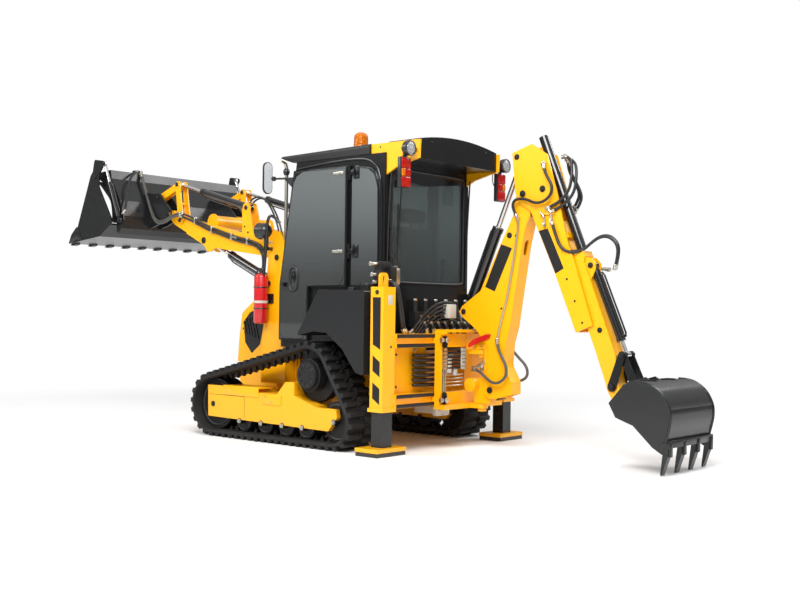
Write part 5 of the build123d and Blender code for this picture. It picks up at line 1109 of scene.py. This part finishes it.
# ------------------------------------------------------------------ rear frame
REAR = (
    ("rail_strips", "chassis", "rubber hose", "black_paint", None, (
        *((block, (-87.5, -83), (-656, 656), (z, z + 27), 1.0) for z in (821, 754, 395, 328)),)),
    ("tower_labels", "chassis", "cast black", "black_paint", 0.0, (
        (plate, ((35, 1106), (-41, 1106), (-41, 740), (29, 776)), 783, 0.8),
        (plate, ((29, 700), (-38, 656), (-38, 548), (29, 592)), 783, 0.8),
        (plate, ((29, 512), (-38, 468), (-38, 356), (29, 400)), 783, 0.8))),
    ("white_labels", "chassis", "pale plate", "grey_paint", None, (
        (block, (-67, -66), (686, 732), (1055, 1120), 0.2),
        (block, (-67, -66), (-732, -686), (1055, 1120), 0.2))),
    ("tower_bolts", "chassis", "dark steel", "steel", 0.0, (
        (nuts, [(-6, 783, 1142)], (0, 1, 0), 14), (nuts, [(-66, 700, 760)], (-1, 0, 0), 8),
        (nuts, [(6, y, z) for y in (330, 560) for z in (470, 700)], (-1, 0, 0), 8))),
    ("clamp_bolts", "carriage", "zinc steel", "steel", None, (
        *((rod, (-166, HOE_Y + s * 352, z), (-166, HOE_Y + s * 376, z), 19, 17, 2.0)
          for s in SIDES for z in CLAMP_Z),
        *((rod, (-188, HOE_Y + s * 330, z), (-195, HOE_Y + s * 330, z), 21, 19, 2.0)
          for s in SIDES for z in CLAMP_Z))),
    ("rear_manifold", "chassis", "cast black", "black_paint", None, (
        (block, (100, 172), (486, 640), (1160, 1300), 6.0),
        (block, (108, 164), (520, 632), (1296, 1368), 6.0),
        (block, (60, 102), (500, 560), (1210, 1330), 4.0),
        (rod, (136, 500, 1298), (136, 500, 1330), 20))),
    ("manifold_fittings", "chassis", "zinc steel", "steel", None, (
        *((rod, (136, 630, z), (136, y, z), 16, 15, 2.0) for z,
          y in ((1346, 706), (1270, 690), (1216, 668))),
        (block, (104, 160), (412, 470), (1204, 1322), 8.0),
        (rod, (132, 440, 1320), (132, 440, 1340), 17),
        *((rod, (98, y, 1214), (66, y, 1222), 13, None, 1.0, 6) for y in (586, 612)))),
    ("valve_caps", "chassis", "zinc steel", "steel", None, (
        *((rod, (56, -300 + 120 * i, 1086), (56, -300 + 120 * i, 1104), 15, None, 1.0, 6)
          for i in range(6)),
        *((rod, (20, -280 + 80 * i, 930), (6, -280 + 80 * i, 930), 13, None, 1.0, 6)
          for i in range(8)),
        *((rod, (20, -280 + 80 * i, 975), (8, -280 + 80 * i, 975), 9, None, 1.0)
          for i in range(8)))),
    ("white_canister", "chassis", "pale plate", "grey_paint", None, (
        (block, (-58, 4), (-52, 38), (962, 1068), 9.0),)),
    ("coil_fittings", "chassis", "brass", "steel", None, (
        *((rod, (x, 100, 476 + 36 * i), (x, 128, 476 + 36 * i), 13, None, 1.0, 6)
          for i in range(7) for x in (-60, -14)),)),
    ("tow_bolts", "chassis", "dark steel", "steel", None, (
        (rod, (-23, 60, 250), (-23, 60, 246), 8),)),
    ("carriage_valve", "carriage", "pale plate", "steel", None, (
        (block, (-132, -104), (92, 140), (560, 668), 5.0),
        (block, (-130, -106), (20, 60), (540, 600), 4.0),
        *((rod, (-118, 80 + 34 * i, 668), (-118, 80 + 34 * i, 700), 11, None, 1.0, 6)
          for i in range(3)))),
    ("carriage_pipes", "carriage", "zinc steel", "steel", None, (
        *((tube, 6.5, ((-120, 205, 470 + 26 * i), (-120, 120, 470 + 26 * i),
                       (-122, 40, 466 + 26 * i),
                       (-124, -20, 470 + 26 * i), (-112, -60, 470 + 26 * i))) for i in range(4)),
        *((tube, 6.5, ((-128, 212 - 22 * i, 340), (-128, 212 - 22 * i, 520),
                       (-126, 206 - 22 * i, 640),
                       (-118, 190 - 22 * i, 740))) for i in range(3)))),
    ("carriage_brass", "carriage", "brass", "steel", None, (
        *((rod, (-122, 206, 600 + 28 * i), (-122, 178, 600 + 28 * i), 13, None, 1.0, 6)
          for i in range(5)),
        *((tube, 6.5, ((-116, 206, 372 + 24 * i), (-116, 100, 372 + 24 * i),
                       (-116, 20, 372 + 24 * i),
                       (-116, -60, 372 + 24 * i))) for i in range(3)))),
    ("neck_collars", "kingpost", "cast black", "black_paint", None, (
        (rod, (-262, HOE_Y, 735), (-262, HOE_Y, 750), 30),
        (rod, (-262, HOE_Y, 277), (-262, HOE_Y, 290), 30))),
    ("kingpost_strap", "kingpost", "zinc steel", "steel", None, (
        (plate, ((-205, 566), (-322, 642), (-312, 660), (-195, 584)), -64, 8, 1.5),
        (block, (-246, -206), (-66, -50), (572, 612), 3.0),
        (block, (-246, -206), (-170, -154), (572, 612), 3.0))),
    ("kingpost_plates", "kingpost", "pale plate", "steel", None, (
        (block, (-300, -276), (-65.5, -62), (600, 636), 1.0),)),
)

# --------------------------------------------------------------- pins, bolts and labels of the arms
HOE = (
    ("boom_pins", "boom", "cast black", "black_paint", None, (
        (caps, -129, 1015, HOE_Y - 66, HOE_Y + 66, 17),
        (caps, -379, 442, HOE_Y - 66, HOE_Y + 66, 19),
        (caps, -535, 1570, HOE_Y - 60, HOE_Y + 60, 17),
        (nuts, [(-590, -50, 1566), (-470, -50, 1040)], (0, 1, 0), 7))),
    ("dipper_pins", "dipper", "cast black", "black_paint", None, (
        (caps, -660, 1862, HOE_Y - 82, HOE_Y + 82, 19),
        (caps, -603, 2130, HOE_Y - 76, HOE_Y + 76, 17),
        (caps, -825, 1887, HOE_Y - 76, HOE_Y + 76, 19),
        (nuts, [(-1033, -34, 1248), (-1099, -34, 1096), (-1160, -34, 948)], (0, 1, 0), 7))),
    ("inner_dipper_pins", "inner_dipper", "cast black", "black_paint", None, (
        (caps, -1202, 1342, HOE_Y - 46, HOE_Y + 46, 16),
        (caps, -1286, 900, HOE_Y - 56, HOE_Y + 56, 15),
        (caps, -1388, 520, HOE_Y - 75, HOE_Y + 75, 17),
        (caps, -1440, 420, HOE_Y - 80, HOE_Y + 80, 18))),
    ("bucket_lever_pins", "bucket_lever", "cast black", "black_paint", None, (
        (caps, -1462, 737, HOE_Y - 73, HOE_Y + 73, 16),)),
    ("hoe_bucket_pins", "hoe_bucket", "cast black", "black_paint", None, (
        (caps, -1553, 532, HOE_Y - 73, HOE_Y + 73, 18),)),
    ("hoe_bucket_ribs", "hoe_bucket", "paint bucket", "black_paint", None, (
        *((tube, 10.0, [(x, y, z) for x, z in (
            (-1905, 200), (-1926, 274), (-1943, 352), (-1936, 429), (-1879, 524), (-1775, 580),
            (-1690, 578))])
          for y in (HOE_Y - 303, HOE_Y + 303)),
        (block, (-1938, -1888), (HOE_Y - 312, HOE_Y + 312), (176, 224), 4.0),
        *((block, (-1944, -1904), (y - 17, y + 17), (122, 214), 5.0)
          for y in (HOE_Y - 286, HOE_Y - 97, HOE_Y + 97, HOE_Y + 286)),
        *((plate, ((-1600, 578), (-1690, 590), (-1760, 590), (-1700, 560)), y, 10, 1.0)
          for y in (HOE_Y - 130, HOE_Y + 120)))),
    ("hoe_bucket_back", "hoe_bucket", "paint bucket", "black_paint", None, (
        (wrap, ((-1907, 222), (-1928, 280), (-1942, 352), (-1932, 432), (-1880, 522), (-1830, 560),
                (-1775, 580), (-1700, 580)), HOE_Y - 309, HOE_Y + 309, 3),)),
    ("boom_plates", "boom", "cast black", "black_paint", HOE_Y, (
        (plate, ((-461, 1508), (-558, 1477), (-409, 1164), (-322, 1198)), HOE_Y + 60, 1.0),)),
    ("dipper_plates", "dipper", "cast black", "black_paint", HOE_Y, (
        (plate, ((-797, 1591), (-872, 1606), (-1007, 1322), (-940, 1287)), HOE_Y + 76, 1.0),)),
    ("boom_foot_boss", "kingpost", "paint yellow", "yellow_paint", None, (
        (rod, (-222, -8, 475), (-222, -4, 475), 44, 40, 1.0),)),
    ("dipper_elbows", "dipper", "zinc steel", "steel", None, (
        *((tube, 8.5, ((x, -24, z), (x - 8, -16, z + 26), (x + 6, -14, z + 52),
                       (x + 26, -16, z + 70)))
          for x, z in ((-846, 1650), (-905, 1676))),
        *((rod, (x, -24, z - 6), (x - 6, -24, z - 34), 13, None, 1.0, 6) for x,
          z in ((-846, 1650), (-905, 1676))),
        (rod, (-836, -30, 2050), (-846, -14, 2072), 17, 15, 1.5),
        (rod, (-838, -34, 2062), (-838, -16, 2062), 20, None, 2.0),
        *((rod, (x, y, z), (x + 26, y, z - 4), 15, None, 1.0, 6)
          for x, y, z in ((-966, -96, 2112), (-976, -128, 2096))))),
    ("dipper_side_bracket", "dipper", "paint yellow", "yellow_paint", None, (
        (block, (-930, -820), (-34, -24), (1700, 1716), 2.0),)),
    ("ram_top_blocks", "inner_dipper", "zinc steel", "steel", None, (
        *((rod, (-1262 - 30 * i, -110, 1318 - 6 * i),
           (-1330 - 12 * i, -110 + 24 * i, 1316 - 10 * i), 11, None, 1.0, 6)
          for i in range(2)),)),
    ("lock_pin", "kingpost", "zinc steel", "steel", None, (
        (rod, (-300, -48, 760), (-300, -38, 760), 9, None, 1.0),)),
)
LOADER = (
    ("tower_pins", "chassis", "cast black", "black_paint", 0.0, (
        (caps, 1383, 1431, 334, 456, 19), (caps, 1470, 1225, 334, 456, 16))),
    ("arm_pins", "loader_arms", "cast black", "black_paint", 0.0, (
        (caps, 2344, 1603, 327, 427, 22), (caps, 1800, 1857, 325, 429, 15),
        (caps, 2680, 1792, 325, 429, 15),
        (caps, 2825, 1852, 306, 448, 18), (nuts, [(1815, 428, 1700), (1770, 428, 1650)], (0, 1, 0),
                                           7))),
    ("lever_pins", "tilt_levers", "cast black", "black_paint", 0.0,
     ((caps, 2730, 2112, 325, 429, 15),)),
    ("link_pins", "loader_bucket", "cast black", "black_paint", 0.0,
     ((caps, 2995, 2010, 312, 442, 15),)),
    ("clam_pins", "loader_bucket", "cast black", "black_paint", 0.0, (
        (caps, 3440, 2195, 730, 804, 15), (caps, 3105, 1790, 730, 779, 11))),
    ("arm_clips", "loader_arms", "zinc steel", "steel", None, (
        *((block, (x - 10, x + 10), (427, 453), (z - 42, z + 16), 2.0)
          for x, z in ((1760, 1590), (1960, 1636), (2220, 1700), (2450, 1790))),
        (rod, (1890, 440, 1606), (1960, 440, 1622), 13.5, None, 1.0, 6))),
    ("hood_slot", "hood", "dark steel", "black_paint", 0.0, (
        (block, (1560, 1660), (296, 300), (690, 1020), 1.5),)),
    ("hood_bolts", "hood", "dark steel", "steel", 0.0, (
        (nuts, [(1960, 298, 850), (1950, 298, 900), (1500, 298, 900), (1400, 298, 620)], (0, 1, 0),
         7),)),
    ("bucket_wedges", "clam", "paint bucket", "black_paint", 0.0, (
        (plate, ((3640, 1632), (3720, 1632), (3800, 1602), (3842, 1602), (3800, 1680),
                 (3722, 1746), (3700, 1746)), 800, 7, 1.0),)),
    ("blade_flanges", "loader_bucket", "paint bucket", "black_paint", 0.0, (
        (wrap, ((3186, 1768), (3196, 1880), (3226, 1972), (3300, 2046), (3420, 2150)), 734, 779,
         6),)),
    ("blade_top_block", "loader_bucket", "cast black", "black_paint", None, (
        (block, (3292, 3344), (390, 470), (2248, 2276), 4.0),)),
    ("extinguisher_bottle", "chassis", "paint red", "red_paint", None, (
        (rod, (1500, 515, 908), (1500, 515, 1270), 57, None, 6.0, 32),
        (dome, (1500, 515, 1270), (57, 57, 34)),
        (dome, (1500, 515, 908), (57, 57, 14)))),
    ("extinguisher_head", "chassis", "lamp housing", "black_paint", None, (
        (rod, (1500, 515, 1298), (1500, 515, 1330), 20, 16),
        (block, (1462, 1530), (500, 530), (1322, 1346), 5.0),
        (hoop, (1500, 515, 1190), (0, 0, 1), 58, 5),
        (block, (1488, 1512), (449, 470), (1000, 1040), 3.0),
        (hoop, (1500, 515, 1020), (0, 0, 1), 58, 5),
        (tube, 6.0, ((1530, 515, 1332), (1566, 520, 1310), (1574, 520, 1200), (1566, 520, 1040),
                     (1562, 520, 980))))),
    ("extinguisher_label", "chassis", "pale plate", "grey_paint", None, (
        (rod, (1500, 515, 1062), (1500, 515, 1082), 57.8, None, 0.0, 32),)),
)
RAM_PIPES = (
    # body, base, eye, places across, offset, from, to
    ("lift_barrels", (1470, 1225), (2344, 1603), (377, -377), -46, 130, 592),
    ("tilt_barrels", (1800, 1857), (2730, 2112), (377, -377), -41, 170, 625),
    ("clam_barrels", (3105, 1790), (3338, 2307), (765, -765), 35, 70, 350),
    ("dipper_ram_barrel", (-129, 1015), (-603, 2130), (HOE_Y,), -53, 100, 640),
    ("bucket_ram_barrel", (-1202, 1342), (-1462, 737), (HOE_Y + 18, HOE_Y - 18), -42, 70, 530),
)


def make_ram_pipes():
    """The steel pipes beside the rams' barrels."""
    for body, base, eye, places, offset, start, end in RAM_PIPES:
        bm = bmesh.new()
        for y in places:
            ram_pipe(bm, base, eye, y, offset, start, end)
        settle(body + "_pipes", bm, body, "gloss black")


# ------------------------------------------------------------------ stage
CAMERA_AT = (-5.099, 6.408, 1.000)          # metres from the legs
CAMERA_YAW, CAMERA_PITCH, CAMERA_ROLL = radians(-49.043), radians(0.669), radians(-0.762)


def make_camera():
    """Camera at the viewing angle, with no depth of field."""
    data = bpy.data.cameras.new("camera")
    data.lens = settings("studio").lens
    data.sensor_width = 36.0
    data.clip_end = 200.0
    ahead = Vector((cos(CAMERA_YAW) * cos(CAMERA_PITCH), sin(CAMERA_YAW) * cos(CAMERA_PITCH),
                    sin(CAMERA_PITCH)))
    right = Vector((sin(CAMERA_YAW), -cos(CAMERA_YAW), 0.0))
    down = ahead.cross(right)
    across = cos(CAMERA_ROLL) * right + sin(CAMERA_ROLL) * down
    up = sin(CAMERA_ROLL) * right - cos(CAMERA_ROLL) * down
    camera = bpy.data.objects.new("camera", data)
    bpy.context.scene.collection.objects.link(camera)
    x, y, z = CAMERA_AT
    turn = Matrix((across, up, -ahead)).transposed().to_4x4()
    camera.matrix_world = Matrix.Translation((LEGS_X + x, y, z)) @ turn
    bpy.context.scene.camera = camera


def lamp(name, at, aim, size, power, colour=(1.0, 1.0, 1.0)):
    """A large soft lamp that points at a place."""
    data = bpy.data.lights.new(name, "AREA")
    data.shape = "RECTANGLE"
    data.size, data.size_y = size
    data.energy = power
    data.color = colour
    lamp_object = bpy.data.objects.new(name, data)
    bpy.context.scene.collection.objects.link(lamp_object)
    way = Vector(aim) - Vector(at)
    lamp_object.matrix_world = Matrix.Translation(at) @ way.to_track_quat("-Z",
                                                                          "Y").to_matrix().to_4x4()


def make_floor():
    """Pale floor that keeps the machine's shadow and fades into the white backdrop."""
    bm = bmesh.new()
    bmesh.ops.create_grid(bm, x_segments=8, y_segments=8, size=60.0)
    mesh = bpy.data.meshes.new("floor")
    bm.to_mesh(mesh)
    bm.free()
    floor = bpy.data.objects.new("floor", mesh)
    bpy.context.scene.collection.objects.link(floor)
    material = bpy.data.materials.new("studio floor")
    material.use_nodes = True
    material.node_tree.nodes.clear()
    graph = Graph(material.node_tree)
    matt = graph.add("ShaderNodeBsdfPrincipled", {
        "Base Color": (*settings("studio").floor, 1.0), "Roughness": 0.75,
        "Specular IOR Level": 0.2})
    white = graph.add("ShaderNodeEmission", {"Color": (1.0, 1.0, 1.0, 1.0), "Strength": 1.0})
    place = graph.add("ShaderNodeTexCoord").outputs["Object"]
    reach = graph.add("ShaderNodeVectorMath", {0: place}, operation="LENGTH").outputs["Value"]
    far = graph.add("ShaderNodeMapRange", {0: reach, 1: 2.6, 2: 6.5, 3: 0.0, 4: 1.0},
                    interpolation_type="SMOOTHSTEP").outputs[0]
    ray = graph.add("ShaderNodeLightPath")
    seen = graph.math("MAXIMUM", ray.outputs["Is Camera Ray"],
                      graph.math("MAXIMUM", ray.outputs["Is Glossy Ray"],
                                 ray.outputs["Is Transmission Ray"]))
    share = graph.math("MULTIPLY", far, seen)
    blend = graph.add("ShaderNodeMixShader", {0: share, 1: matt.outputs[0], 2: white.outputs[0]})
    graph.add("ShaderNodeOutputMaterial", {"Surface": blend.outputs[0]})
    mesh.materials.append(material)


def make_world():
    """White backdrop, with an even soft light for the surfaces."""
    world = bpy.data.worlds.new("studio")
    bpy.context.scene.world = world
    world.use_nodes = True
    world.node_tree.nodes.clear()
    graph = Graph(world.node_tree)
    ray = graph.add("ShaderNodeLightPath")
    view_ray = graph.math("MAXIMUM", ray.outputs["Is Camera Ray"],
                          ray.outputs["Is Transmission Ray"])
    way = graph.add("ShaderNodeTexCoord").outputs["Generated"]
    height = graph.add("ShaderNodeSeparateXYZ", {0: way}).outputs["Z"]
    glow = graph.add("ShaderNodeMapRange", {0: height, 1: -0.1, 2: 0.9, 3: 0.12, 4: 0.78},
                     interpolation_type="SMOOTHSTEP").outputs[0]
    ambient = settings("studio").ambient
    soft = graph.math("MULTIPLY", glow, ray.outputs["Is Glossy Ray"])
    rest = graph.math("MULTIPLY", ambient, graph.math("SUBTRACT", 1.0,
                                                      ray.outputs["Is Glossy Ray"]))
    level = graph.math("ADD", soft, rest)
    strength = graph.math("ADD", view_ray, graph.math("MULTIPLY", level,
                                                      graph.math("SUBTRACT", 1.0, view_ray)))
    back = graph.add("ShaderNodeBackground", {"Color": (1.0, 1.0, 1.0, 1.0), "Strength": strength})
    graph.add("ShaderNodeOutputWorld", {"Surface": back.outputs[0]})


# ------------------------------------------------------------------ operators
class LOADER_OT_finishes(bpy.types.Operator):
    """Build the finishes and lay them on the carried-over solids"""
    bl_idname = "loader.finishes"
    bl_label = "Finishes"

    def execute(self, context):
        make_finishes()
        for name, node in frame["nodes"].items():
            node.data.materials.clear()
            node.data.materials.append(FINISHES[NODE_FINISHES[name]])
        return {"FINISHED"}


class LOADER_OT_tracks(bpy.types.Operator):
    """Build both rubber tracks with their lugs"""
    bl_idname = "loader.tracks"
    bl_label = "Tracks"

    def execute(self, context):
        make_tracks()
        return {"FINISHED"}


class LOADER_OT_hoses(bpy.types.Operator):
    """Lay the hydraulic hoses and pipes"""
    bl_idname = "loader.hoses"
    bl_label = "Hoses and pipes"

    def execute(self, context):
        make_hoses()
        return {"FINISHED"}


class LOADER_OT_lamps(bpy.types.Operator):
    """Build the lamps, the beacon and the mirror"""
    bl_idname = "loader.lamps"
    bl_label = "Lamps and mirror"

    def execute(self, context):
        make_rows(LAMPS)
        return {"FINISHED"}


class LOADER_OT_cab(bpy.types.Operator):
    """Build the cab's seals, handles, hinges, seat and caps"""
    bl_idname = "loader.cab"
    bl_label = "Cab trim and seat"

    def execute(self, context):
        make_rows(CAB)
        return {"FINISHED"}


class LOADER_OT_undercarriage(bpy.types.Operator):
    """Build the hub covers, the frame covers and their bolts"""
    bl_idname = "loader.undercarriage"
    bl_label = "Undercarriage fittings"

    def execute(self, context):
        make_rows(UNDERCARRIAGE)
        return {"FINISHED"}


class LOADER_OT_rear(bpy.types.Operator):
    """Build the rails' strips, the valves and the fittings behind the cab"""
    bl_idname = "loader.rear"
    bl_label = "Rear frame fittings"

    def execute(self, context):
        make_rows(REAR)
        return {"FINISHED"}


class LOADER_OT_backhoe(bpy.types.Operator):
    """Build the backhoe's pins, plates and fittings"""
    bl_idname = "loader.backhoe"
    bl_label = "Backhoe fittings"

    def execute(self, context):
        make_rows(HOE)
        return {"FINISHED"}


class LOADER_OT_loader_arms(bpy.types.Operator):
    """Build the loader's pins, clips and the extinguisher"""
    bl_idname = "loader.loader_arms"
    bl_label = "Loader fittings"

    def execute(self, context):
        make_rows(LOADER)
        return {"FINISHED"}


class LOADER_OT_ram_pipes(bpy.types.Operator):
    """Lay the pipes beside the rams"""
    bl_idname = "loader.ram_pipes"
    bl_label = "Ram pipes"

    def execute(self, context):
        make_ram_pipes()
        return {"FINISHED"}


class LOADER_OT_stage(bpy.types.Operator):
    """Set the floor, the backdrop, the lamps and the camera"""
    bl_idname = "loader.stage"
    bl_label = "Stage"

    def execute(self, context):
        studio = settings("studio")
        make_floor()
        make_world()
        make_camera()
        lamp("key lamp", (-3.5, 4.5, 5.5), (0.0, 0.0, 1.0), (4.0, 3.0), studio.key)
        lamp("fill lamp", (4.5, 6.5, 5.5), (0.5, 0.0, 1.0), (3.0, 3.0), studio.fill)
        lamp("back lamp", (-3.6, -5.2, 6.0), (-0.5, 0.0, 1.2), (3.0, 3.0), studio.fill)
        scene = context.scene
        scene.view_settings.view_transform = "Standard"
        return {"FINISHED"}


class LOADER_PT_panel(bpy.types.Panel):
    """List of the steps that dress the loader"""
    bl_idname = "LOADER_PT_panel"
    bl_label = "Backhoe loader"
    bl_space_type = "VIEW_3D"
    bl_region_type = "UI"
    bl_category = "Loader"

    def draw(self, context):
        for step in STEPS:
            self.layout.operator(step.bl_idname)


STEPS = (LOADER_OT_finishes, LOADER_OT_tracks, LOADER_OT_hoses, LOADER_OT_lamps, LOADER_OT_cab,
         LOADER_OT_undercarriage, LOADER_OT_rear, LOADER_OT_backhoe, LOADER_OT_loader_arms,
         LOADER_OT_ram_pipes, LOADER_OT_stage)
GROUPS = {"colours": LoaderColours, "sizes": LoaderSizes, "studio": LoaderStudio}


def register():
    """Register the settings, the steps and the panel."""
    for group in GROUPS.values():
        bpy.utils.register_class(group)
    for kind, group in GROUPS.items():
        setattr(bpy.types.Scene, "loader_" + kind, bpy.props.PointerProperty(type=group))
    for step in (*STEPS, LOADER_PT_panel):
        bpy.utils.register_class(step)


def unregister():
    """Take the panel, the steps and the settings away again."""
    for step in (LOADER_PT_panel, *reversed(STEPS)):
        bpy.utils.unregister_class(step)
    for kind in GROUPS:
        delattr(bpy.types.Scene, "loader_" + kind)
    for group in reversed(list(GROUPS.values())):
        bpy.utils.unregister_class(group)


def main():
    """Dress the loader step by step."""
    register()
    for step in STEPS:
        group, name = step.bl_idname.split(".")
        getattr(getattr(bpy.ops, group), name)()


if __name__ == "__main__":
    main()
